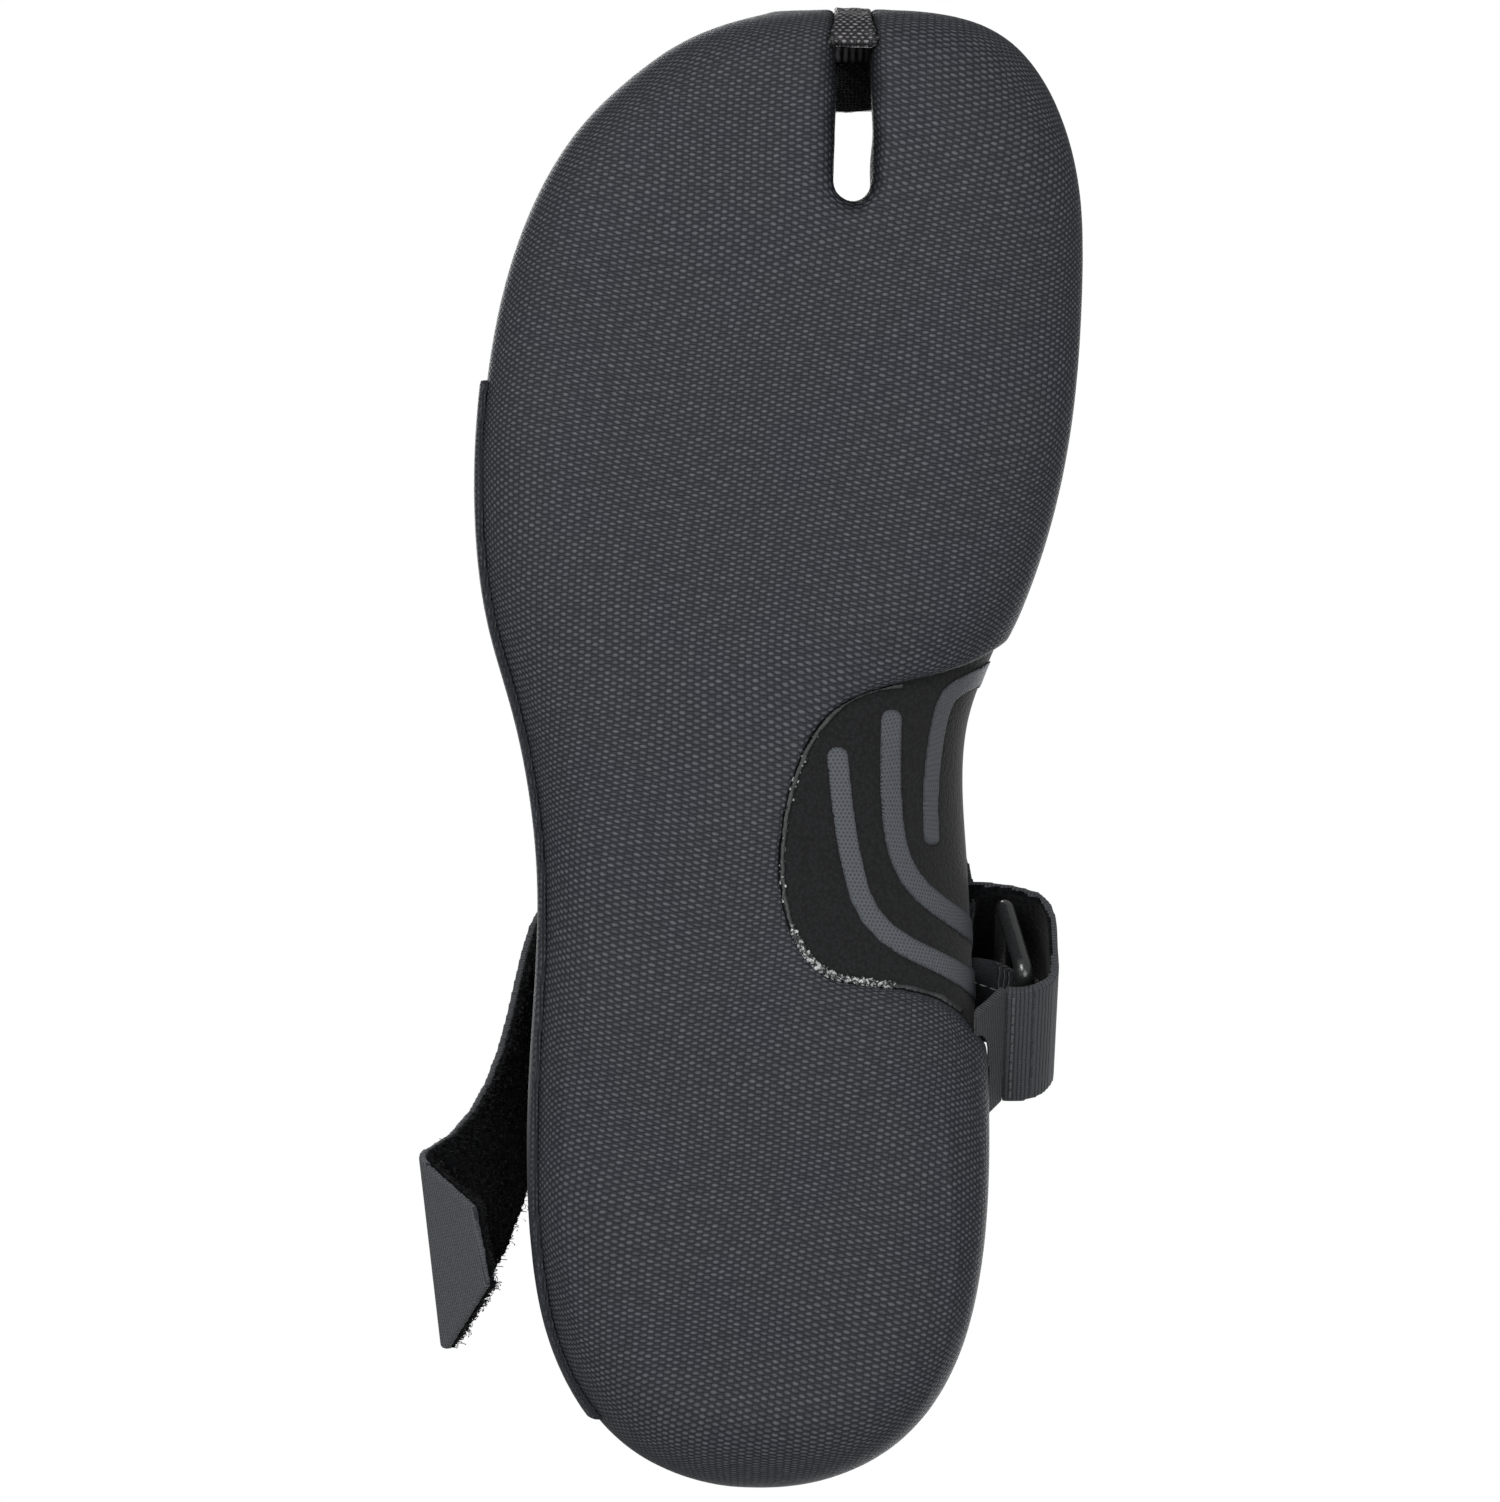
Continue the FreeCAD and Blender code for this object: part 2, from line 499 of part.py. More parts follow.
def build():
    """Every piece of the boot, by name."""
    parts = {}
    ground = everywhere(2 * BELOW, 0)
    sky = everywhere(SHAFT_TOP)
    skin = form(0.0)
    sock = form(NEOPRENE_SKIN)
    hollow = form(LINING_SKIN)
    slot_outer, slot_sock, slot_hollow = slot(0.0), slot(NEOPRENE_SKIN), slot(LINING_SKIN)

    # Sole: rubber wrapped up round the sock, rolled into the toe slot, with the arch left open.
    window = plan_prism(WINDOW)
    wall_reach = LINING_SKIN + 2 * SLOT_HALF
    slot_wall_top = box((SLOT_X - wall_reach, SLOT_X + wall_reach), (SLOT_WALL_FRONT, SLOT_END + wall_reach),
                        (SLOT_WALL_TOP, FAR))
    rubber = skin.common(wrap_region()).cut(slot_outer).cut(sock.cut(slot_sock)).cut(ground)
    outsole = keep_largest(rubber.cut(window).cut(slot_wall_top))
    parts["outsole"] = outsole

    rand_strip = box((-FAR, 0), (RAND_START, RAND_END), (RAND_LOW, RAND_HIGH)).common(wrap_region())
    parts["side_rand"] = keep_largest(layer(-RAND_T, skin, rand_strip))

    bridge_zone = side_prism(BRIDGE_SIDE).common(slot_sock).cut(ground)
    bridge = layer(BRIDGE_DEPTHS[0], form(BRIDGE_DEPTHS[1]), bridge_zone).cut(outsole)
    parts["toe_bridge"] = keep_largest(bridge)

    # Sock: the foam shell, cut into its panels.
    foam = sock.cut(slot_sock).cut(hollow.cut(slot_hollow))
    over_low = above(*LOW_SEAM)
    over_high = above(*HIGH_SEAM)
    foot = foam.cut(over_low)
    leg = foam.common(over_low).cut(sky)
    shaft = leg.common(over_high)
    parts["ankle_panel"] = keep_largest(leg.cut(over_high))

    arch_zone = box(*ARCH_BOX)
    parts["arch_panel"] = keep_largest(foot.common(arch_zone))
    foot = foot.cut(arch_zone)
    under = everywhere(BELOW, SOCK_TOP)
    parts["sock_bottom"] = keep_largest(foot.common(under))
    foot = foot.cut(under)
    (low_y, low_z), (high_y, high_z) = VAMP_SEAM
    vamp_zone = side_prism([(-FAR / 2, low_z), (low_y, low_z), (high_y, high_z), (-FAR / 2, high_z)])
    parts["vamp_panel"] = keep_largest(foot.common(vamp_zone))
    foot = foot.cut(vamp_zone)
    throat_zone = box(*THROAT_ZONE)
    parts["throat_panel"] = keep_largest(foot.common(throat_zone))
    foot = foot.cut(throat_zone)
    heel_zone = box((-FAR, FAR), (HEEL_SEAM_Y, FAR), (BELOW, FAR))
    parts["heel_panel"] = keep_largest(foot.common(heel_zone))
    foot = foot.cut(heel_zone)
    outer_zone = box((-FAR, 0), (-FAR, FAR), (BELOW, FAR))
    parts["outer_quarter_panel"] = keep_largest(foot.common(outer_zone))
    parts["inner_quarter_panel"] = keep_largest(foot.cut(outer_zone))

    front_zone = box((-FAR, FAR), (-FAR, SHAFT_SPLIT_Y), (BELOW, SHAFT_TOP - BINDING_T))
    back_zone = box((-FAR, FAR), (SHAFT_SPLIT_Y, FAR), (BELOW, SHAFT_TOP - BINDING_T))
    parts["shaft_front_panel"] = keep_largest(shaft.common(front_zone))
    parts["shaft_back_panel"] = keep_largest(shaft.common(back_zone))
    cuff_zone = everywhere(SHAFT_TOP - BINDING_H, SHAFT_TOP)
    cuff_edge = foam.common(everywhere(SHAFT_TOP - 2 * BINDING_H, SHAFT_TOP - BINDING_T))
    binding = layer(NEOPRENE_SKIN - BINDING_T, form(LINING_SKIN + BINDING_T), cuff_zone)
    parts["cuff_binding"] = keep_largest(binding.cut(cuff_edge))

    parts["footbed"] = keep_largest(hollow.common(everywhere(BELOW, FLOOR_TOP)).cut(slot_hollow))

    # Raised print and glued edge on the arch.
    bars = []
    up_the_side = FreeCAD.Placement(Vector(SIDE_PRINT_X, 0, 0), FreeCAD.Rotation(Vector(1, 1, 1), 120))
    for width, under_path, side_path in ARCH_BARS:
        path = moved_aside(under_path, 0.0, BAR_STEPS)
        turn_height = side_path[0][1]
        zone = track(path, width / 2, turn_height).fuse(track(side_path, width / 2, PRINT_REACH, up_the_side))
        bars.append(layer(NEOPRENE_SKIN - PRINT_T, sock, zone))
    rim = track(moved_aside(BEAD_PATH, BEAD_W / 2, BEAD_STEPS), BEAD_W / 2, PRINT_REACH / 2).common(window)
    parts["arch_edge_bead"] = keep_largest(layer(NEOPRENE_SKIN - BEAD_T, sock, rim).cut(outsole))

    # Strap: the part that lies on the boot, then the loop that stands off it, round the ring.
    front_half = side_prism(STRAP_SIDE)
    strap_zone = slab(STRAP_NORMAL, STRAP_EDGE, STRAP_EDGE + STRAP_W).common(front_half)
    strap_zone = strap_zone.cut(halfspace(*TAIL_ROOT)).cut(halfspace(*LOOP_ROOT))
    lie = layer(NEOPRENE_SKIN - STRAP_T, sock, strap_zone)
    loop = band(LOOP_LINE, STRAP_T, LOOP_ACROSS * STRAP_W, LOOP_AXES).cut(sock)
    strap = parts["instep_strap"] = keep_largest(keep_largest(loop).fuse(keep_largest(lie)))

    parts["arch_bars"] = Part.makeCompound([keep_largest(bar.cut(strap).cut(outsole)) for bar in bars])

    anchor = band(ANCHOR_LINE, STRAP_T, LOOP_ACROSS * STRAP_W, LOOP_AXES).common(box(*ANCHOR_BOX))
    parts["strap_anchor_tab"] = keep_largest(anchor.cut(skin).cut(strap))
    keeper_axes = (LOOP_AXES[0] + LOOP_ACROSS * KEEPER_REACH[0], X_AXIS, LOOP_UP)
    keeper = band(KEEPER_LINE, KEEPER_T, LOOP_ACROSS * (KEEPER_REACH[1] - KEEPER_REACH[0]), keeper_axes)
    parts["ring_keeper"] = keep_largest(keeper.cut(sock).cut(parts["arch_bars"]))
    parts["spreader_ring"] = ring()
    parts["anchor_stitching"] = stitches(strap)

    tail_pairs = along_edges(TAIL, TAIL_STEPS)
    parts["tail_webbing"] = keep_largest(plate(tail_pairs, 0.0, WEBBING_T).cut(strap))
    parts["tail_loop_pile"] = keep_largest(plate(tail_pairs, -PILE_T, 0.0).cut(strap))
    parts["tip_webbing"] = plate(TIP, 0.0, WEBBING_T)
    parts["tip_loop_pile"] = plate(TIP, -PILE_T, 0.0)
    patch_zone = prism([Vector(-FAR / 2, y, z) for y, z in HOOK_PATCH], Vector(FAR, 0, 0))
    parts["hook_patch"] = keep_largest(layer(NEOPRENE_SKIN - PATCH_T, sock, patch_zone))

    # Rubber seam seal over each seam of the sock.
    seal_depth = NEOPRENE_SKIN - TAPE_T
    seam_way = Vector(0, high_y - low_y, high_z - low_z).normalize()
    seam_normal = Vector(0, seam_way.z, -seam_way.y)
    at_seam = seam_normal.dot(Vector(0, low_y, low_z))
    vamp_seam = slab(seam_normal, at_seam - SEAL_HALF, at_seam + SEAL_HALF)
    vamp_seam = vamp_seam.common(everywhere(SEAL_FOOT)).cut(arch_zone)
    vamp_seal = layer(seal_depth, sock, vamp_seam)
    parts["vamp_seam_seal"] = keep_largest(vamp_seal.cut(outsole).cut(strap))
    heel_seam = box((-SEAL_HALF, SEAL_HALF), (SHAFT_SPLIT_Y, FAR), (HEEL_SEAM_FOOT, SHAFT_TOP))
    heel_seam = heel_seam.cut(shifted_above(LOW_SEAM, -2 * SEAL_HALF))
    parts["heel_seam_seal"] = keep_largest(layer(seal_depth, sock, heel_seam).cut(outsole))
    low_seam = shifted_above(LOW_SEAM, -2 * SEAL_HALF).cut(over_low)
    parts["ankle_low_seam_seal"] = keep_largest(layer(seal_depth, sock, low_seam).cut(strap))
    high_seam = over_high.cut(shifted_above(HIGH_SEAM, 2 * SEAL_HALF))
    parts["ankle_high_seam_seal"] = keep_largest(layer(seal_depth, sock, high_seam))
    split = box((-FAR, FAR), (SHAFT_SPLIT_Y - SEAL_HALF, SHAFT_SPLIT_Y + SEAL_HALF), (0, SHAFT_TOP - BINDING_H))
    side_seams = layer(seal_depth, sock, split.common(shifted_above(HIGH_SEAM, 2 * SEAL_HALF)))
    parts["shaft_side_seam_seals"] = Part.makeCompound(side_seams.Solids)

    # Pull tab at the back of the cuff.
    tab_zone = box((-TAB_HALF, TAB_HALF), (SHAFT_SPLIT_Y, FAR), (SHAFT_TOP - TAB_ROOT_H, SHAFT_TOP))
    tab_depth = NEOPRENE_SKIN - BINDING_T
    parts["pull_tab_base"] = keep_largest(layer(tab_depth - TAB_T, form(tab_depth), tab_zone))
    tab_axes = (Vector(-TAB_HALF, 0, 0), Vector(0, 1, 0), Vector(0, 0, 1))
    parts["pull_tab"] = band(TAB_LINE, TAB_T, Vector(2 * TAB_HALF, 0, 0), tab_axes)
    return parts


if __name__ == "__main__":
    os.makedirs("parts", exist_ok=True)
    for name, shape in build().items():
        shape.exportStep(f"parts/{name}.step")
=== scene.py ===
"""Looks for the split-toe neoprene boot: soft panels, textured rubber, webbing and pile round the CAD."""

import math
import random

import bmesh
import bpy
import numpy as np
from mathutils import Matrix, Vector
from mathutils.bvhtree import BVHTree


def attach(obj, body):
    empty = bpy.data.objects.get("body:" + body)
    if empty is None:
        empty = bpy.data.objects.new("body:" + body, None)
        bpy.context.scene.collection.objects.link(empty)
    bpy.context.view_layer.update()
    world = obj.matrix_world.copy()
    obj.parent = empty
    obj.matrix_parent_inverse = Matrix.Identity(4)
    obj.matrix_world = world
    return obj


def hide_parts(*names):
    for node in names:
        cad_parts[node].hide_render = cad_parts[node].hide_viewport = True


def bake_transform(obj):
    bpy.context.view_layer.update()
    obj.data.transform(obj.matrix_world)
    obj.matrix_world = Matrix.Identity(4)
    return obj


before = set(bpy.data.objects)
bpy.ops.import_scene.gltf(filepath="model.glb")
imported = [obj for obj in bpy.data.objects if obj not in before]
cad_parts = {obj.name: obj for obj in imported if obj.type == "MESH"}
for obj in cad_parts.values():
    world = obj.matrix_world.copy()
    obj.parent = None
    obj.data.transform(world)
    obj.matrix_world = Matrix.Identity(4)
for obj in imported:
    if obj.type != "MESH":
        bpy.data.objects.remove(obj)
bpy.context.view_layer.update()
MM = 0.001
random.seed(7)
rng = np.random.default_rng(7)

# ---- shared geometry of the boot, in millimetres ----
LEG_AXIS_Y = 79.5
ANKLE_NORMAL = np.array([0.0, 0.287, 0.958])
ANKLE_LOW, ANKLE_HIGH = 115.3, 143.0
SHAFT_TOP = 178.0
SLOT_X, SLOT_HALF, SLOT_END = 17.75, 3.5, -104.5        # the toe slot's middle, half width and end


def unit(vector):
    vector = np.array(vector, float)
    return vector / np.linalg.norm(vector)


def metres(point):
    return tuple(c * MM for c in point)


# ---- mesh helpers ----
def points_of(mesh):
    co = np.empty(len(mesh.vertices) * 3, np.float32)
    mesh.vertices.foreach_get("co", co)
    return co.reshape(-1, 3).astype(float) / MM


def normals_of(mesh):
    n = np.empty(len(mesh.vertices) * 3, np.float32)
    mesh.vertices.foreach_get("normal", n)
    return n.reshape(-1, 3).astype(float)


def put_points(mesh, co):
    mesh.vertices.foreach_set("co", (co * MM).astype(np.float32).ravel())
    mesh.update()


def link(name, mesh):
    obj = bpy.data.objects.new(name, mesh)
    bpy.context.scene.collection.objects.link(obj)
    return obj


def copy_of(name, *nodes):
    """A new object with the joined, welded meshes of CAD nodes."""
    bm = bmesh.new()
    for node in nodes:
        bm.from_mesh(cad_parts[node].data)
    bmesh.ops.remove_doubles(bm, verts=bm.verts, dist=0.002 * MM)
    mesh = bpy.data.meshes.new(name)
    bm.to_mesh(mesh)
    bm.free()
    return link(name, mesh)


def apply_modifiers(obj):
    depsgraph = bpy.context.evaluated_depsgraph_get()
    mesh = bpy.data.meshes.new_from_object(obj.evaluated_get(depsgraph))
    obj.modifiers.clear()
    obj.data = mesh
    return obj


def evened(obj, voxel, smooth):
    """Gives an object an even mesh and softened edges."""
    remesh = obj.modifiers.new("even", "REMESH")
    remesh.mode = "VOXEL"
    remesh.voxel_size = voxel * MM
    relax = obj.modifiers.new("soften", "SMOOTH")
    relax.factor = 0.5
    relax.iterations = smooth
    return apply_modifiers(obj)


def remeshed(name, voxel, smooth, *nodes):
    """A copy of CAD nodes with an even mesh and softened edges."""
    return evened(copy_of(name, *nodes), voxel, smooth)


def store(mesh, name, values):
    """Stores a vector for each vertex."""
    data = np.zeros((len(mesh.vertices), 3), np.float32)
    data[:, : values.shape[1]] = values
    attribute = mesh.attributes.new(name, "FLOAT_VECTOR", "POINT")
    attribute.data.foreach_set("vector", data.ravel())


def push(obj, amount):
    """Moves each vertex along its normal."""
    mesh = obj.data
    put_points(mesh, points_of(mesh) + normals_of(mesh) * amount[:, None])


def waves(co, length, seed):
    """A smooth random field of about one unit, its bumps about length across."""
    local = np.random.default_rng(seed)
    total = np.zeros(len(co))
    for _ in range(7):
        way = local.normal(size=3)
        way /= np.linalg.norm(way)
        turns = 2 * math.pi / (length * local.uniform(0.8, 1.7))
        total += np.sin(co @ way * turns + local.uniform(0, 2 * math.pi))
    return total / 2.6


def line_distance(co, line):
    """Distance from each point to a polyline, both in plan."""
    p = co[:, :2]
    best = np.full(len(p), 1e9)
    for a, b in zip(line, line[1:]):
        a, b = np.array(a, float), np.array(b, float)
        along = b - a
        t = np.clip((p - a) @ along / (along @ along), 0, 1)
        best = np.minimum(best, np.linalg.norm(p - a - t[:, None] * along, axis=1))
    return best


def tree_of(*nodes):
    obj = copy_of("tree", *nodes)
    bm = bmesh.new()
    bm.from_mesh(obj.data)
    tree = BVHTree.FromBMesh(bm)
    bm.free()
    bpy.data.objects.remove(obj)
    return tree


def gap_to(co, tree, reach):
    """Distance from each point to a surface, up to reach."""
    result = np.full(len(co), reach)
    for i, p in enumerate(co * MM):
        hit = tree.find_nearest(Vector(p), reach * MM)
        if hit[3] is not None:
            result[i] = hit[3] / MM
    return result


def grow_mesh(name, vertices, faces):
    mesh = bpy.data.meshes.new(name)
    mesh.from_pydata([tuple(v) for v in np.asarray(vertices) * MM], [], faces)
    mesh.update()
    return link(name, mesh)


def tube_faces(base, rings, sides):
    """Faces between rings of vertices that follow one another, from vertex base on."""
    faces = []
    for a in range(base, base + (rings - 1) * sides, sides):
        for k in range(sides):
            n = (k + 1) % sides
            faces.append((a + k, a + n, a + sides + n, a + sides + k))
    return faces


def smooth_shading(obj):
    obj.data.polygons.foreach_set("use_smooth", [True] * len(obj.data.polygons))


# ---- materials ----
SLOT_SHADE = 3.2            # how far from the slot's walls the sole is darkened by painted shade, mm
GRAIN_PITCH = (1.22, 1.43)  # of the sole's raised dashes, down a column and from column to column
GRAIN_SIZE = (0.92, 1.75)
GRAIN_LEAN = 0.12


class Shade:
    """A material under construction: short calls that add and join nodes."""

    def __init__(self, name):
        self.material = bpy.data.materials.new(name)
        self.material.use_nodes = True
        self.tree = self.material.node_tree
        self.bsdf = self.tree.nodes["Principled BSDF"]

    def join(self, value, socket):
        if isinstance(value, bpy.types.NodeSocket):
            self.tree.links.new(value, socket)
        else:
            socket.default_value = value

    def math(self, operation, a, b=0.0):
        node = self.tree.nodes.new("ShaderNodeMath")
        node.operation = operation
        self.join(a, node.inputs[0])
        self.join(b, node.inputs[1])
        return node.outputs[0]

    def attribute(self, name):
        node = self.tree.nodes.new("ShaderNodeAttribute")
        node.attribute_name = name
        return node.outputs["Vector"]

    def split(self, vector):
        node = self.tree.nodes.new("ShaderNodeSeparateXYZ")
        self.join(vector, node.inputs[0])
        return node.outputs

    def noise(self, vector, scale, detail=2.0):
        node = self.tree.nodes.new("ShaderNodeTexNoise")
        self.join(vector, node.inputs["Vector"])
        node.inputs["Scale"].default_value = scale
        node.inputs["Detail"].default_value = detail
        return node.outputs["Fac"]

    def drift(self, vector, scale, reach, detail=2.0):
        """Noise about zero: from minus half of reach to half of it."""
        return self.math("MULTIPLY", self.math("SUBTRACT", self.noise(vector, scale, detail), 0.5), reach)

    def total(self, first, *more):
        for value in more:
            first = self.math("ADD", first, value)
        return first

    def cells(self, vector, scale):
        node = self.tree.nodes.new("ShaderNodeTexVoronoi")
        self.join(vector, node.inputs["Vector"])
        node.inputs["Scale"].default_value = scale
        return node.outputs["Distance"]

    def ramp(self, value, low, high, to_low=0.0, to_high=1.0):
        node = self.tree.nodes.new("ShaderNodeMapRange")
        node.interpolation_type = "SMOOTHSTEP"
        self.join(value, node.inputs["Value"])
        self.join(low, node.inputs["From Min"])
        self.join(high, node.inputs["From Max"])
        self.join(to_low, node.inputs["To Min"])
        self.join(to_high, node.inputs["To Max"])
        return node.outputs["Result"]

    def mix(self, share, a, b, blend="MIX"):
        node = self.tree.nodes.new("ShaderNodeMix")
        node.data_type = "RGBA"
        node.blend_type = blend
        self.join(share, node.inputs["Factor"])
        self.join(a, node.inputs[6])
        self.join(b, node.inputs[7])
        return node.outputs[2]

    def bumps(self, height, depth, after=None):
        node = self.tree.nodes.new("ShaderNodeBump")
        node.inputs["Strength"].default_value = 1.0
        node.inputs["Distance"].default_value = depth * MM
        self.join(height, node.inputs["Height"])
        if after:
            self.join(after, node.inputs["Normal"])
        return node.outputs["Normal"]

    def lattice(self, u, v, pitch_u, pitch_v, size_u, size_v):
        """Rounded dots in staggered rows: 1 at a dot's middle, 0 between dots."""
        row = self.math("FLOOR", self.math("DIVIDE", v, pitch_v))
        shift = self.math("MULTIPLY", self.math("FLOORED_MODULO", row, 2.0), 0.5)
        in_u = self.math("FRACT", self.math("ADD", self.math("DIVIDE", u, pitch_u), shift))
        in_v = self.math("FRACT", self.math("DIVIDE", v, pitch_v))
        away_u = self.math("MULTIPLY", self.math("SUBTRACT", in_u, 0.5), 2 * pitch_u / size_u)
        away_v = self.math("MULTIPLY", self.math("SUBTRACT", in_v, 0.5), 2 * pitch_v / size_v)
        square = self.total(*[self.math("POWER", self.math("ABSOLUTE", a), 2.0) for a in (away_u, away_v)])
        return self.ramp(square, 0.0, 1.25, 1.0, 0.0)

    def done(self, color, roughness, normal=None, **more):
        self.join(color, self.bsdf.inputs["Base Color"])
        self.join(roughness, self.bsdf.inputs["Roughness"])
        if normal:
            self.join(normal, self.bsdf.inputs["Normal"])
        for key, value in more.items():
            self.join(value, self.bsdf.inputs[key.replace("_", " ")])
        return self.material


def tint(red, green, blue):
    """A linear colour from sRGB levels, 0 to 255."""
    def linear(c):
        c = c / 255
        return c / 12.92 if c <= 0.04045 else ((c + 0.055) / 1.055) ** 2.4
    return (linear(red), linear(green), linear(blue), 1.0)


def grey(level, blue=0.0):
    """A grey from an sRGB level, a little towards blue."""
    return tint(level - blue, level, level + blue * 1.6)


def sole_material(name, contrast, shade):
    """Rubber over coarse cloth: staggered columns of short raised dashes that bend slowly across the sole."""
    s = Shade(name)
    at = s.attribute("fabric")
    slot, under, _ = s.split(s.attribute("slot_gap"))
    strength = s.ramp(under, 0.0, 0.45, 0.35 * contrast, contrast)
    x, y, _ = s.split(at)
    along = s.total(x, s.math("MULTIPLY", y, GRAIN_LEAN), s.drift(at, 0.014, 12.0, 1.0),
                    s.drift(at, 0.5, 0.5))
    down = s.total(y, s.math("MULTIPLY", x, -GRAIN_LEAN), s.drift(at, 0.016, 14.0, 1.0),
                   s.drift(at, 0.4, 0.4))
    grain = s.lattice(down, along, *GRAIN_PITCH, *GRAIN_SIZE)
    peak = s.math("POWER", grain, 1.6)
    fine = s.noise(at, 2.6, 3.0)
    wide = s.ramp(s.noise(at, 0.035, 3.0), 0.36, 0.64)
    # Painted light on the grain: the gaps between the dashes are darkened as painted shade and the dashes'
    # tops lightened as a painted highlight, both strongest where the sole faces down.
    gap = s.mix(wide, tint(29, 31, 35), tint(26, 30, 38))
    body = s.mix(wide, tint(43, 45, 50), tint(38, 43, 53))
    # Patches where the painted highlight on the dashes' tops is brighter.
    patchy_highlight = s.ramp(s.noise(at, 0.5, 2.0), 0.25, 0.75)
    top = s.mix(patchy_highlight, s.mix(strength, body, tint(60, 62, 68)), s.mix(strength, body, tint(94, 97, 103)))
    low = s.mix(s.ramp(strength, 0.0, contrast, 0.6, 0.0), gap, body)
    color = s.mix(s.math("MULTIPLY", peak, s.ramp(fine, 0.25, 0.7, 0.4, 1.0)), s.mix(grain, low, body), top)
    # Painted shade: the sole darkens towards the toe slot's walls, where its lips roll into the slot.
    painted_slot_shade = s.ramp(slot, 0.0, SLOT_SHADE, 1.0 - shade, 1.0)
    color = s.mix(1.0, color, painted_slot_shade, "MULTIPLY")
    normal = s.bumps(s.math("MULTIPLY", grain, strength), 0.26)
    normal = s.bumps(fine, 0.05, normal)
    rough = s.ramp(fine, 0.3, 0.7, 0.56, 0.74)
    return s.done(color, rough, normal, Specular_IOR_Level=0.36)


def neoprene_material(name, low, high):
    """Jersey over foam: tiny loops, a soft sheen and slow variation."""
    s = Shade(name)
    at = s.attribute("fabric")
    loops = s.cells(at, 1.35)
    slow = s.noise(at, 0.06, 3.0)
    fibre = s.noise(at, 3.4, 3.0)
    color = s.mix(s.ramp(loops, 0.1, 0.8), s.mix(slow, grey(high, 0.8), grey(high + 5, 1.2)), grey(low, 0.6))
    normal = s.bumps(s.math("MULTIPLY", loops, -1.0), 0.12)
    normal = s.bumps(fibre, 0.05, normal)
    return s.done(color, s.ramp(fibre, 0.3, 0.7, 0.78, 0.95), normal, Specular_IOR_Level=0.25,
                  Sheen_Weight=0.12, Sheen_Roughness=0.5)


def print_material():
    s = Shade("grey_print")
    at = s.attribute("fabric")
    u, v, _ = s.split(at)
    holes = s.lattice(u, v, 0.95, 0.72, 0.6, 0.5)
    soft = s.noise(at, 0.9, 3.0)
    ink = s.mix(soft, tint(76, 79, 84), tint(88, 91, 97))
    color = s.mix(s.math("MULTIPLY", holes, 0.6), ink, grey(50, 2.0))
    normal = s.bumps(s.math("MULTIPLY", holes, -1.0), 0.14)
    return s.done(color, 0.62, normal, Specular_IOR_Level=0.35)


def glue_material():
    """A thin dark line of glue with glossy drops, which the vertices mark; patches of the drops carry a
    painted white glint.
    """
    s = Shade("glue_bead")
    at = s.attribute("fabric")
    drop, _, _ = s.split(s.attribute("drops"))
    lumps = s.noise(at, 1.1, 4.0)
    glint_patches = s.ramp(s.noise(at, 1.3, 2.0), 0.46, 0.6)
    # Painted glints: patches of the drops are painted near white.
    drops = s.mix(glint_patches, grey(44, 1.0), s.mix(lumps, grey(120, 1.0), grey(225)))
    color = s.mix(drop, s.mix(lumps, grey(20, 1.0), grey(36, 1.5)), drops)
    rough = s.ramp(drop, 0.0, 1.0, 0.55, 0.12)
    return s.done(color, rough, s.bumps(lumps, 0.35), Specular_IOR_Level=0.8)


def seal_material():
    s = Shade("seam_rubber")
    at = s.attribute("fabric")
    lumps = s.noise(at, 0.5, 3.0)
    color = s.mix(lumps, grey(30, 1.0), grey(40, 1.5))
    return s.done(color, s.ramp(lumps, 0.3, 0.7, 0.5, 0.68), s.bumps(lumps, 0.12), Specular_IOR_Level=0.35)


def webbing_material(name, dark, light, rib, cross):
    """Woven tape: ribs along the first fabric direction, fine picks across them."""
    s = Shade(name)
    at = s.attribute("fabric")
    u, v, _ = s.split(at)
    v = s.total(v, s.drift(at, 0.4, 0.35))
    across = s.math("ABSOLUTE", s.math("SINE", s.math("MULTIPLY", v, math.pi / rib)))
    picks = s.math("ABSOLUTE", s.math("SINE", s.math("MULTIPLY", u, math.pi / cross)))
    ridge = s.math("MULTIPLY", s.ramp(across, 0.0, 0.85), s.ramp(picks, 0.0, 1.0, 0.62, 1.0))
    fibre = s.noise(at, 3.1, 3.0)
    shade = s.math("MULTIPLY", ridge, s.ramp(fibre, 0.25, 0.75, 0.7, 1.0))
    color = s.mix(shade, grey(dark, 1.5), grey(light, 3.0))
    normal = s.bumps(ridge, 0.3)
    normal = s.bumps(fibre, 0.06, normal)
    return s.done(color, 0.82, normal, Specular_IOR_Level=0.25, Sheen_Weight=0.15)


def fuzz_material(name, dark, light):
    s = Shade(name)
    at = s.attribute("fabric")
    tufts = s.noise(at, 1.1, 4.0)
    color = s.mix(s.ramp(tufts, 0.35, 0.7), grey(dark, 0.8), grey(light, 1.2))
    return s.done(color, 1.0, s.bumps(tufts, 0.5), Specular_IOR_Level=0.05, Sheen_Weight=0.05)


def plastic_material():
    s = Shade("black_plastic")
    at = s.attribute("fabric")
    scuff = s.noise(at, 1.6, 5.0)
    return s.done(s.mix(scuff, grey(32, 0.6), grey(44, 0.8)), s.ramp(scuff, 0.35, 0.7, 0.16, 0.3),
                  s.bumps(scuff, 0.03), Specular_IOR_Level=0.8)


def board_material():
    s = Shade("footbed_board")
    at = s.attribute("fabric")
    fibre = s.noise(at, 0.8, 5.0)
    return s.done(s.mix(fibre, grey(34), grey(52)), 0.9, s.bumps(fibre, 0.3), Specular_IOR_Level=0.2)


def thread_material():
    s = Shade("thread")
    at = s.attribute("fabric")
    twist = s.noise(at, 3.5, 2.0)
    return s.done(s.mix(twist, grey(58, 1.0), grey(96, 1.5)), 0.7, s.bumps(twist, 0.08), Sheen_Weight=0.2)


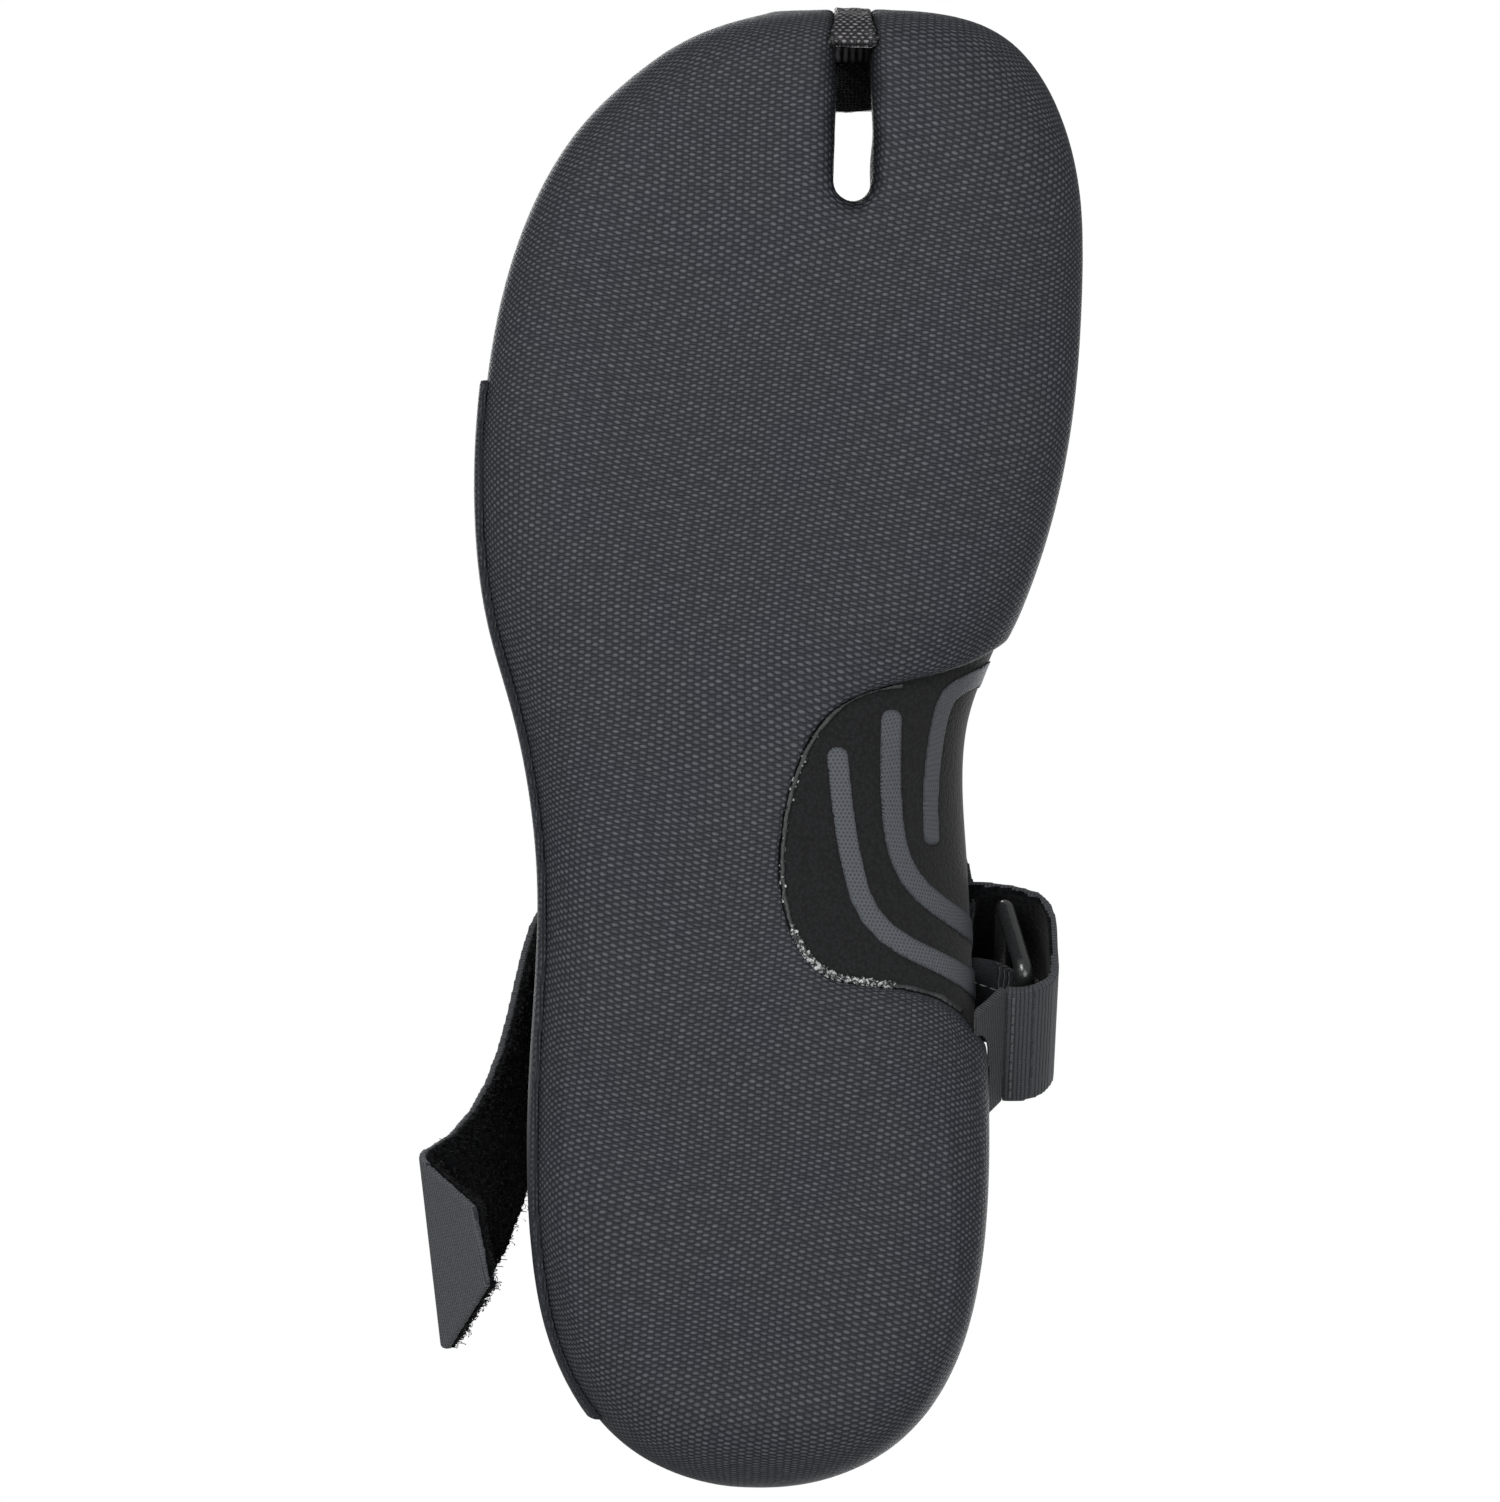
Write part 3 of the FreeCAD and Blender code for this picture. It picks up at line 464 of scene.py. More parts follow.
def mesh_material():
    """The coarse rubber net across the tip of the toe slot; its dots carry painted highlights that dim
    towards its sides and lower edge.
    """
    s = Shade("toe_net")
    at = s.attribute("fabric")
    u, v, _ = s.split(at)
    u = s.total(u, s.drift(at, 0.6, 1.0))
    dots = s.lattice(u, v, 1.45, 0.85, 1.25, 0.8)
    # The stored painted light level, lower at the net's sides and lower edge.
    edge, _, _ = s.split(s.attribute("lit"))
    lit = s.math("MULTIPLY", s.ramp(s.noise(at, 0.8, 3.0), 0.35, 0.62, 0.3, 1.0), edge)
    color = s.mix(s.math("MULTIPLY", s.math("POWER", dots, 1.6), lit), grey(14, 1.0), tint(142, 138, 144))
    return s.done(color, 0.42, s.bumps(dots, 0.5), Specular_IOR_Level=0.5)


LOOKS = {
    "outsole": sole_material("outsole_rubber", 1.0, 0.75),
    "rand": sole_material("rand_rubber", 0.45, 0.0),
    "neoprene": neoprene_material("black_neoprene", 19, 31),
    "arch": neoprene_material("arch_neoprene", 17, 26),
    "print": print_material(),
    "glue": glue_material(),
    "seal": seal_material(),
    "webbing": webbing_material("grey_webbing", 34, 76, 0.8, 0.7),
    "anchor": webbing_material("anchor_webbing", 30, 56, 0.6, 0.55),
    "binding": webbing_material("binding_tape", 22, 40, 0.7, 0.5),
    "keeper": webbing_material("keeper_tape", 12, 28, 0.55, 0.5),
    "twill": webbing_material("tip_twill", 44, 90, 0.62, 0.62),
    "pile": fuzz_material("loop_pile", 5, 20),
    "fibre": fuzz_material("pile_fibre", 8, 56),
    "hook": fuzz_material("hook_base", 18, 30),
    "plastic": plastic_material(),
    "board": board_material(),
    "thread": thread_material(),
    "net": mesh_material(),
}


def place(obj, body, look, slot, *nodes, fabric=None):
    """Finishes a piece: its fabric coordinates, material, body, and the CAD nodes it stands for."""
    mesh = obj.data
    if "fabric" not in mesh.attributes:
        store(mesh, "fabric", points_of(mesh) if fabric is None else fabric)
    smooth_shading(obj)
    mesh.materials.clear()
    mesh.materials.append(LOOKS[look])
    if isinstance(body, str):
        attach(obj, body)
    else:
        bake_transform(obj)
    if nodes:
        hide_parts(*nodes)
    return obj


# ---- the leg's soft creases ----
CREASE_ROWS, CREASE_COLUMNS = 44, 96
CREASE_LOW, CREASE_TOP = 92.0, 176.0
CREASE_CAP = 1.9            # the deepest crease, mm
CREASE_SMOOTHING = 5
CLOTH_FRAMES = 24


def leg_grid():
    """A tube through the leg's outer face, as a grid of points: rows up, columns round."""
    tree = tree_of("ankle_panel", "shaft_front_panel", "shaft_back_panel", "throat_panel", "heel_panel",
                   "outer_quarter_panel", "inner_quarter_panel")
    grid = np.zeros((CREASE_ROWS, CREASE_COLUMNS, 3))
    for i in range(CREASE_ROWS):
        z = CREASE_LOW + (CREASE_TOP - CREASE_LOW) * i / (CREASE_ROWS - 1)
        for k in range(CREASE_COLUMNS):
            turn = 2 * math.pi * k / CREASE_COLUMNS
            way = Vector((math.sin(turn), math.cos(turn), 0))
            far = Vector((0, LEG_AXIS_Y, z)) + way * 120
            hit = tree.ray_cast(far * MM, -way)[0]
            grid[i, k] = np.array(hit) / MM if hit is not None else np.array(far)
    return grid


def settle_leg():
    """How far each point of the leg's grid moves outwards, when a slightly too long tube of cloth settles
    between the foot and the cuff."""
    grid = leg_grid()
    faces = tube_faces(0, CREASE_ROWS, CREASE_COLUMNS)
    wobble = rng.normal(size=grid.shape[:2])[..., None] * 0.05
    outward = grid - np.array([0, LEG_AXIS_Y, 0])
    outward[..., 2] = 0
    outward /= np.linalg.norm(outward, axis=2)[..., None]
    start = grid + outward * wobble
    tube = grow_mesh("leg_cloth", start.reshape(-1, 3), faces)
    pins = tube.vertex_groups.new(name="pins")
    for i in range(CREASE_ROWS):
        height = i / (CREASE_ROWS - 1)
        hold = max(0.0, 1 - height / 0.10, (height - 0.62) / 0.2)
        for k in range(CREASE_COLUMNS):
            pins.add([i * CREASE_COLUMNS + k], min(hold, 1.0), "REPLACE")
    cloth = tube.modifiers.new("cloth", "CLOTH")
    settings = cloth.settings
    settings.quality = 8
    settings.mass = 0.4
    settings.tension_stiffness = 30
    settings.compression_stiffness = 30
    settings.bending_stiffness = 40
    settings.shrink_min = -0.09
    settings.effector_weights.gravity = 0
    settings.vertex_group_mass = "pins"
    cloth.collision_settings.use_collision = False
    cloth.point_cache.frame_start = 1
    cloth.point_cache.frame_end = CLOTH_FRAMES
    scene = bpy.context.scene
    for f in range(1, CLOTH_FRAMES + 1):
        scene.frame_set(f)
    depsgraph = bpy.context.evaluated_depsgraph_get()
    settled = points_of(tube.evaluated_get(depsgraph).data).reshape(grid.shape)
    scene.frame_set(1)
    bpy.data.objects.remove(tube)
    moved = np.sum((settled - grid) * outward, axis=2)
    for _ in range(CREASE_SMOOTHING):
        moved = (np.roll(moved, 1, 1) + 2 * moved + np.roll(moved, -1, 1)) / 4
        padded = np.pad(moved, ((1, 1), (0, 0)), "edge")
        moved = (padded[:-2] + 2 * moved + padded[2:]) / 4
    moved = np.clip(moved / max(np.percentile(np.abs(moved), 97), 1e-6), -1, 1) * CREASE_CAP
    level = grid @ ANKLE_NORMAL
    moved *= np.clip((level - ANKLE_LOW + 3) / 9, 0, 1) * np.clip((SHAFT_TOP - 10 - grid[..., 2]) / 8, 0, 1)
    return moved


CREASE = settle_leg()


def crease(co):
    """How far the leg's creases move each point outwards, read from the settled tube."""
    turn = np.arctan2(co[:, 0], co[:, 1] - LEG_AXIS_Y) / (2 * math.pi) * CREASE_COLUMNS
    up = (co[:, 2] - CREASE_LOW) / (CREASE_TOP - CREASE_LOW) * (CREASE_ROWS - 1)
    inside = (up >= 0) & (up <= CREASE_ROWS - 1)
    up = np.clip(up, 0, CREASE_ROWS - 1.001)
    i, k = np.floor(up).astype(int), np.floor(turn).astype(int)
    part_up, part_round = up - i, turn - k
    k0, k1 = k % CREASE_COLUMNS, (k + 1) % CREASE_COLUMNS
    below = CREASE[i, k0] * (1 - part_round) + CREASE[i, k1] * part_round
    above = CREASE[i + 1, k0] * (1 - part_round) + CREASE[i + 1, k1] * part_round
    return (below * (1 - part_up) + above * part_up) * inside


def soften_leg(obj):
    """Moves a piece outwards or inwards with the leg's creases."""
    co = points_of(obj.data)
    outward = co - np.array([0, LEG_AXIS_Y, 0])
    outward[:, 2] = 0
    outward /= np.maximum(np.linalg.norm(outward, axis=1), 1e-6)[:, None]
    put_points(obj.data, co + outward * crease(co)[:, None])


# ---- sole ----
# Low ridges on the sole: a line in plan, the ridge's half width and its height.
RIDGES = [
    ([(-37.0, 56.8), (-37.6, 79.6), (-37.4, 96.7), (-34.2, 111.9)], 1.3, 0.45),
    ([(35.7, 70.1), (37.0, 98.6), (36.1, 111.9), (31.4, 123.3)], 1.3, 0.45),
    ([(19.0, 62.5), (27.0, 68.0), (35.2, 75.8)], 3.0, 0.4),
    ([(1.9, -19.2), (0.5, 5.0), (-1.9, 28.3)], 2.6, 0.25),
]


def unrolled(co, normal):
    """Plan coordinates that run on up the walls by their own length, so the grain keeps its size there."""
    flat = np.linalg.norm(normal[:, :2], axis=1)
    way = normal[:, :2] / np.maximum(flat, 0.05)[:, None]
    wall = np.maximum(np.clip(flat / 0.8, 0, 1), np.clip((co[:, 2] - 3) / 4, 0, 1))
    lean = 0.5 * np.clip(normal[:, 2], 0, 1) / np.maximum(flat, 0.15)
    rise = np.maximum(co[:, 2] - 8, 0)
    extra = co[:, 2] * wall + rise * (lean + np.sqrt(1 + lean ** 2) - 1)
    return co[:, :2] + way * extra[:, None]


NET_SWELL = 0.7             # the net bulges between the toes, mm


def make_sole():
    sole = remeshed("outsole_skin", 0.8, 4, "outsole")
    co, normal = points_of(sole.data), normals_of(sole.data)
    under = np.clip(-normal[:, 2], 0, 1)
    lift = 0.22 * waves(co, 34, 3) * under
    for line, width, height in RIDGES:
        lift += height * under * np.exp(-(line_distance(co, line) / width) ** 2)
    beside_slot = np.abs(co[:, 0] - SLOT_X) - SLOT_HALF
    round_end = np.hypot(co[:, 0] - SLOT_X, co[:, 1] - SLOT_END + SLOT_HALF) - SLOT_HALF
    slot_gap = np.where(co[:, 1] < SLOT_END - SLOT_HALF, beside_slot, round_end)
    slot_gap += 0.5 * waves(co, 7, 5)
    lift += 0.28 * waves(co, 9, 21) * np.exp(-(slot_gap / 3.0) ** 2)
    push(sole, lift)
    # The distance to the slot also sets the sole's painted shade beside it.
    store(sole.data, "slot_gap", np.stack([slot_gap, under], 1))
    place(sole, "boot", "outsole", "outsole_rubber", "outsole", fabric=unrolled(co, normal))

    rand = remeshed("side_rand_strip", 0.5, 3, "side_rand")
    rand_co, rand_normal = points_of(rand.data), normals_of(rand.data)
    far = np.full(len(rand_co), SLOT_SHADE)
    store(rand.data, "slot_gap", np.stack([far, np.clip(-rand_normal[:, 2], 0, 1)], 1))
    place(rand, "boot", "rand", "smooth_rubber", "side_rand", fabric=unrolled(rand_co, rand_normal))

    net = remeshed("toe_net", 0.5, 2, "toe_bridge")
    co, normal = points_of(net.data), normals_of(net.data)
    outward = normal * np.array([0.2, 1, 1])
    swell = NET_SWELL * np.clip((-co[:, 1] - 133) / 4, 0, 1) + 0.15 * waves(co, 3, 9)
    put_points(net.data, co + outward * swell[:, None])
    # Painted light on the net: its dots' highlights dim towards its lower edge and its sides.
    lit = np.clip((-co[:, 1] - 133.2) / 2.0, 0.1, 1)
    lit *= np.clip((4.6 - np.abs(co[:, 0] - SLOT_X)) / 1.6, 0.25, 1)
    store(net.data, "lit", np.repeat(lit[:, None], 3, axis=1))
    climb = np.where(co[:, 1] < -134, co[:, 2] - co[:, 1], co[:, 1] + co[:, 2])
    place(net, "boot", "net", "outsole_rubber", "toe_bridge", fabric=np.stack([co[:, 0], climb], 1))


# ---- sock ----
PANELS = ["sock_bottom", "vamp_panel", "throat_panel", "heel_panel", "outer_quarter_panel",
          "inner_quarter_panel", "shaft_front_panel", "shaft_back_panel", "ankle_panel", "arch_panel"]
ON_SHAFT = ("shaft_front_panel", "shaft_back_panel")


def make_panels():
    for node in PANELS:
        piece = remeshed(node.replace("_panel", "") + "_foam", 1.0, 5, node)
        others = tree_of(*[n for n in PANELS if n != node])
        co = points_of(piece.data)
        gap = gap_to(co, others, 9.0)
        puff = 0.35 * np.clip(gap / 7.0, 0, 1) - 0.7 * np.exp(-(gap / 1.6) ** 2)
        puff += 0.18 * waves(co, 26, 11)
        if node == "arch_panel":
            puff *= 0.4
        push(piece, puff)
        soften_leg(piece)
        body = "shaft" if node in ON_SHAFT else "boot"
        if node == "ankle_panel":
            body = ("boot", "shaft", metres(ANKLE_NORMAL * ANKLE_LOW), metres(ANKLE_NORMAL * ANKLE_HIGH))
        look = "arch" if node == "arch_panel" else "neoprene"
        place(piece, body, look, "black_neoprene", node, fabric=co)


def ball(at, radii, turn):
    """Points and faces of a small lumpy drop."""
    rings, sides = 5, 6
    points = []
    for i in range(rings):
        tilt = math.pi * i / (rings - 1)
        for k in range(sides):
            a = 2 * math.pi * k / sides
            x = radii[0] * math.sin(tilt) * math.cos(a)
            y = radii[1] * math.sin(tilt) * math.sin(a)
            points.append((at[0] + x * math.cos(turn) - y * math.sin(turn),
                           at[1] + x * math.sin(turn) + y * math.cos(turn),
                           at[2] + radii[2] * math.cos(tilt)))
    return points, tube_faces(0, rings, sides)


def make_glue():
    """The glue line along the arch window's edge, with drops on its toe-side bend and heel corner that carry
    painted white glints.
    """
    bead = remeshed("arch_glue", 0.3, 2, "arch_edge_bead")
    push(bead, 0.1 * waves(points_of(bead.data), 2.4, 9))
    line = points_of(bead.data)
    faces = [tuple(p.vertices) for p in bead.data.polygons]
    low = line[:, 2] < np.median(line[:, 2]) + 2
    spots = line[low][:: max(1, int(low.sum() / 2600))]
    order = np.argsort(np.arctan2(spots[:, 0] - 24, spots[:, 1] - 16))
    spots = spots[order]
    points, drops = list(map(tuple, line)), [0.0] * len(line)
    last = np.array([1e9, 0, 0])
    for spot in spots:
        corner = spot[1] > 33 and spot[0] > 6
        side = spot[0] < 11 and spot[1] > -8
        gap = 0.7 if corner else 1.25
        if not (corner or side) or np.linalg.norm(spot - last) < gap * random.uniform(0.8, 1.5):
            continue
        last = spot
        if random.random() < (0.15 if corner else 0.3):
            continue
        size = random.uniform(0.16, 0.34) * (1.5 if corner else 1.0)
        more, shapes = ball(spot + np.array([0, 0, -0.05]), (size, size * random.uniform(1, 1.9), size * 0.7),
                            random.uniform(0, 3.1))
        faces += [tuple(i + len(points) for i in f) for f in shapes]
        points += more
        drops += [1.0] * len(more)
    bpy.data.objects.remove(bead)
    glue = grow_mesh("arch_glue_line", points, faces)
    store(glue.data, "drops", np.array(drops)[:, None])
    place(glue, "boot", "glue", "smooth_rubber", "arch_edge_bead")


SEAL_SWELL = 0.55           # how far the seam seals stand out beyond the foam beside them, mm


def make_trim():
    for node in ("vamp_seam_seal", "heel_seam_seal", "ankle_low_seam_seal", "ankle_high_seam_seal",
                 "shaft_side_seam_seals"):
        piece = remeshed(node.replace("_seal", "_line"), 0.35, 2, node)
        push(piece, np.full(len(piece.data.vertices), SEAL_SWELL))
        co = points_of(piece.data)
        soften_leg(piece)
        body = "shaft" if node in ("ankle_high_seam_seal", "shaft_side_seam_seals") else "boot"
        place(piece, body, "seal", "seam_rubber", node, fabric=co)

    cuff = remeshed("cuff_tape", 0.6, 3, "cuff_binding")
    co = points_of(cuff.data)
    turn = np.arctan2(co[:, 0], co[:, 1] - LEG_AXIS_Y) * 42
    push(cuff, 0.25 + 0.12 * waves(co, 7, 5))
    place(cuff, "shaft", "binding", "black_neoprene", "cuff_binding", fabric=np.stack([turn, co[:, 2]], 1))

    base = remeshed("pull_tab_root", 0.35, 2, "pull_tab_base")
    place(base, "shaft", "anchor", "grey_webbing", "pull_tab_base", fabric=points_of(base.data)[:, [0, 2]])
    tab = remeshed("pull_tab_tape", 0.4, 2, "pull_tab")
    co = points_of(tab.data)
    co[:, 2] -= np.clip(181.0 - co[:, 2], 0, 9) * 1.1
    put_points(tab.data, co)
    place(tab, "pull_loop", "anchor", "grey_webbing", "pull_tab", fabric=points_of(tab.data)[:, [0, 2]])

    bed = remeshed("footbed_sheet", 1.0, 3, "footbed")
    place(bed, "boot", "board", "board", "footbed")

    bars = remeshed("arch_print", 0.3, 3, "arch_bars")
    co, normal = points_of(bars.data), normals_of(bars.data)
    place(bars, "boot", "print", "grey_print", "arch_bars", fabric=co[:, :2] + normal[:, :2] * co[:, 2:3])

    make_glue()


make_sole()
make_panels()
make_trim()

# ---- strap and its parts ----
LOOP_ACROSS = unit([0, 0.75, 0.66])
LOOP_UP = unit([0, -0.66, 0.75])
# The loop's line, in the plane across its width: x, and the distance along LOOP_UP.
LOOP_LINE = [(34.0, -36.0), (41.0, -28.0), (46.9, -20.6), (52.5, -20.2), (56.0, -17.5), (56.9, -10.0),
             (56.9, -1.0), (55.0, 5.0), (49.5, 7.9), (42.0, 9.0), (33.0, 9.6), (0.0, 24.0)]

STRAP_NORMAL = unit([0.346, 0.704, 0.620])      # across the strap where it lies on the boot
STRAP_UP = unit(np.array([0, 0, 1]) - STRAP_NORMAL * STRAP_NORMAL[2])
STRAP_SIDE = np.cross(STRAP_NORMAL, STRAP_UP)
STRAP_HEART = np.array([0, 45.0, 50.0])         # it bends round this point
STRAP_EDGE, LOOP_EDGE = 55.5, 42.5              # its toe-side edge, where it lies and in its loop
LIE_ROOT = np.array([41.0, 30.0, 35.0])
STRAP_BEND_R = 48.0
LOOP_FOOT_X = 40.5                              # the loop leaves the boot's side about here
STRAP_T = 1.8


def strap_fabric(co):
    """Across the strap and along it round the loop, and whether each point is on the loop's inside."""
    flat = np.stack([co[:, 0], co @ LOOP_UP], 1)
    best = np.full(len(co), 1e9)
    along = np.zeros(len(co))
    inside = np.zeros(len(co), bool)
    run = 0.0
    for a, b in zip(LOOP_LINE, LOOP_LINE[1:]):
        a, b = np.array(a), np.array(b)
        way = b - a
        size = np.linalg.norm(way)
        t = np.clip((flat - a) @ way / size ** 2, 0, 1)
        off = flat - a - t[:, None] * way
        gap = np.linalg.norm(off, axis=1)
        near = gap < best
        best[near] = gap[near]
        along[near] = (run + t * size)[near]
        inside[near] = (way[0] * off[:, 1] - way[1] * off[:, 0] > 0)[near]
        run += size
    across = co @ LOOP_ACROSS - LOOP_EDGE
    lying = ((co - LIE_ROOT) @ LOOP_UP > 0) & ((co[:, 0] < LOOP_FOOT_X) | (best > STRAP_T))
    out = co - STRAP_HEART
    turn = np.arctan2(out @ STRAP_SIDE, out @ STRAP_UP)
    across = np.where(lying, co @ STRAP_NORMAL - STRAP_EDGE, across)
    along = np.where(lying, turn * STRAP_BEND_R, along)
    return np.stack([across, along], 1), inside & ~lying


def line_inside(piece, inside):
    """Gives the faces on the loop's inside the pile's look."""
    piece.data.materials.append(LOOKS["pile"])
    chosen = [int(all(inside[i] for i in p.vertices)) for p in piece.data.polygons]
    piece.data.polygons.foreach_set("material_index", chosen)


WEBBING_T, PILE_T = 1.4, 1.0
# The free tail and its folded tip: points on the toe-side and heel-side edges, from root to end.
TAIL = [
    ((-24.6, 22.7, 77.3), (-29.0, 48.5, 99.0)),
    ((-36.5, 27.0, 78.0), (-38.5, 53.0, 96.5)),
    ((-45.5, 35.5, 73.0), (-43.5, 60.5, 88.0)),
    ((-51.2, 59.5, 54.0), (-46.2, 83.5, 66.0)),
    ((-65.0, 78.2, 33.0), (-60.6, 116.2, 33.0)),
]
TIP = [
    ((-64.6, 80.4, 30.2), (-60.4, 116.8, 30.2)),
    ((-54.6, 88.0, 19.0), (-51.8, 103.0, 18.0)),
]


def smooth_line(points, steps):
    """Points along a smooth curve through the given ones."""
    p = np.array(points, float)
    p = np.vstack([2 * p[0] - p[1], p, 2 * p[-1] - p[-2]])
    result = []
    for i in range(steps + 1):
        at = (len(p) - 3) * i / steps
        k = min(int(at), len(p) - 4)
        t = at - k
        a, b, c, d = p[k:k + 4]
        result.append(0.5 * (2 * b + (c - a) * t + (2 * a - 5 * b + 4 * c - d) * t * t
                             + (3 * b - a - 3 * c + d) * t ** 3))
    return np.array(result)


def strip_frame(pairs, steps):
    """Both edges of a strip and its outward normals, along smooth curves."""
    toe = smooth_line([a for a, _ in pairs], steps)
    heel = smooth_line([b for _, b in pairs], steps)
    along = np.gradient(toe + heel, axis=0)
    normal = np.cross(heel - toe, along)
    normal /= np.linalg.norm(normal, axis=1)[:, None]
    return toe, heel, normal


def strip_fabric(co, pairs):
    """Across the strip and along it, for every point."""
    toe, heel, _ = strip_frame(pairs, 40)
    middle = (toe + heel) / 2
    run = np.concatenate([[0], np.cumsum(np.linalg.norm(np.diff(middle, axis=0), axis=1))])
    nearest = np.argmin(np.linalg.norm(co[:, None, :] - middle[None], axis=2), axis=1)
    across = heel[nearest] - toe[nearest]
    across /= np.linalg.norm(across, axis=1)[:, None]
    way = np.gradient(middle, axis=0)[nearest]
    way /= np.linalg.norm(way, axis=1)[:, None]
    off = co - middle[nearest]
    return np.stack([np.sum(off * across, axis=1), run[nearest] + np.sum(off * way, axis=1)], 1)


FIBRE_R = 0.075
FIBRE_STEPS = 60        # places along a strip between which the fibres' roots are spread


def fibres(name, pairs, node, count, length):
    """A nap of small curled loops standing on a CAD strip's inner face, thicker along its edges."""
    tree = tree_of(node)
    toe, heel, normal = strip_frame(pairs, FIBRE_STEPS)
    points, faces = [], []
    for _ in range(count):
        at = random.uniform(0, FIBRE_STEPS)
        k = min(int(at), FIBRE_STEPS - 1)
        t = at - k
        edge = random.random()
        if random.random() < 0.22:
            edge = random.choice((random.uniform(0.0, 0.03), random.uniform(0.97, 1.0)))
        low = toe[k] * (1 - t) + toe[k + 1] * t
        high = heel[k] * (1 - t) + heel[k + 1] * t
        out = -(normal[k] * (1 - t) + normal[k + 1] * t)
        above = low * (1 - edge) + high * edge + out * (PILE_T + 1.0)
        root = np.array(tree.find_nearest(Vector(tuple(above * MM)))[0]) / MM - out * 0.15
        lean = rng.normal(size=3) * 0.7
        tall = length * random.uniform(0.5, 1.15)
        side = np.cross(out, lean)
        side /= max(np.linalg.norm(side), 1e-6)
        base = len(points)
        arc = [root, root + out * tall * 0.6 + lean * tall * 0.15, root + out * tall + lean * tall * 0.45,
               root + out * tall * 0.75 + lean * tall * 0.9, root + out * tall * 0.3 + lean * tall * 1.05]
        for p in arc:
            points += [p - side * FIBRE_R, p + side * FIBRE_R, p + (out + lean) * FIBRE_R]
        faces += tube_faces(base, len(arc), 3)
    return grow_mesh(name, points, faces)


STITCH = (2.6, 1.8, 0.2, 0.05)          # a row's pitch, and its stitches' length, radius and lift
CUFF_STITCH = (3.0, 2.1, 0.24, 0.3)
THREAD_SIDES = 6
THREAD_RINGS = ((0, 0.35, -0.8), (0.25, 1, 0), (0.75, 1, 0), (1, 0.35, -0.8))    # place, width, height


def stitch_row(points, normals, pitch, length, radius, lift):
    """Short threads along a line: lists of points and faces."""
    points = np.array(points, float)
    run = np.concatenate([[0], np.cumsum(np.linalg.norm(np.diff(points, axis=0), axis=1))])
    count = int(run[-1] / pitch)
    verts, faces = [], []
    for i in range(count):
        ends = [(i + 0.5) * pitch - length / 2, (i + 0.5) * pitch + length / 2]
        a, b = [np.array([np.interp(e, run, points[:, c]) for c in range(3)]) for e in ends]
        n = np.array([np.interp((ends[0] + ends[1]) / 2, run, normals[:, c]) for c in range(3)])
        n /= np.linalg.norm(n)
        way = (b - a) / max(np.linalg.norm(b - a), 1e-6)
        side = np.cross(n, way)
        base = len(verts)
        for t, width, height in THREAD_RINGS:
            middle = a * (1 - t) + b * t + n * (lift + height * radius)
            for k in range(THREAD_SIDES):
                turn = 2 * math.pi * k / THREAD_SIDES
                verts.append(middle + (side * math.cos(turn) + n * math.sin(turn)) * radius * width)
        faces += tube_faces(base, len(THREAD_RINGS), THREAD_SIDES)
        faces.append(tuple(range(base + THREAD_SIDES - 1, base - 1, -1)))
        faces.append(tuple(range(len(verts) - THREAD_SIDES, len(verts))))
    return verts, faces


def sew(name, rows, body):
    """One piece holding several stitch rows."""
    points, faces = [], []
    for line, normals, pitch, length, radius, lift in rows:
        more, shapes = stitch_row(line, normals, pitch, length, radius, lift)
        faces += [tuple(i + len(points) for i in f) for f in shapes]
        points += more
    place(grow_mesh(name, points, faces), body, "thread", "thread")


# The peeled tail leaves the boot between the first two points, and its opened tip turns between the other
# two.
TAIL_ROOT = ((-26.8, 35.6, 88.2), (-36.2, 36.8, 84.9))
FOLD_START, FOLD_END = (-63.0, 97.2, 34.6), (-62.3, 98.9, 29.0)
FOLD_STEPS = 12
FOLD_OVERLAP = 0.7      # how far the fold runs into the tail and into the tip, mm
SEEK = 2.0              # how far above the webbing a stitch is before it is dropped on it, mm


def fold_layer(name, inner, outer, bulge):
    """One layer of the tape, between two depths, where it turns from the tail's end into the tip."""
    ends = []
    for pairs, at, way in ((TAIL, -1, -1), (TIP, 0, 1)):
        toe, heel, normal = strip_frame(pairs, 60)
        along = np.gradient((toe + heel) / 2, axis=0)[at]
        along *= way * FOLD_OVERLAP / np.linalg.norm(along)
        shift = normal[at] * (inner + outer) / 2 + along
        ends.append((toe[at] + shift, heel[at] + shift, normal[at]))
    (toe_a, heel_a, normal_a), (toe_b, heel_b, normal_b) = ends
    out = (normal_a + normal_b) / np.linalg.norm(normal_a + normal_b) * bulge
    share = np.linspace(0, 1, FOLD_STEPS + 1)[:, None]
    edges = []
    for a, b in ((toe_a, toe_b), (heel_a, heel_b)):
        edges.append(a * (1 - share) ** 2 + (a + b + 4 * out) * share * (1 - share) + b * share ** 2)
    toe, heel = edges
    normal = np.cross(heel - toe, np.gradient(toe + heel, axis=0))
    normal *= (outer - inner) / 2 / np.linalg.norm(normal, axis=1)[:, None]
    points = np.stack([toe - normal, heel - normal, heel + normal, toe + normal], 1).reshape(-1, 3)
    faces = [(3, 2, 1, 0), tuple(range(4 * FOLD_STEPS, 4 * FOLD_STEPS + 4))]
    return evened(grow_mesh(name, points, faces + tube_faces(0, FOLD_STEPS + 1, 4)), 0.35, 2)


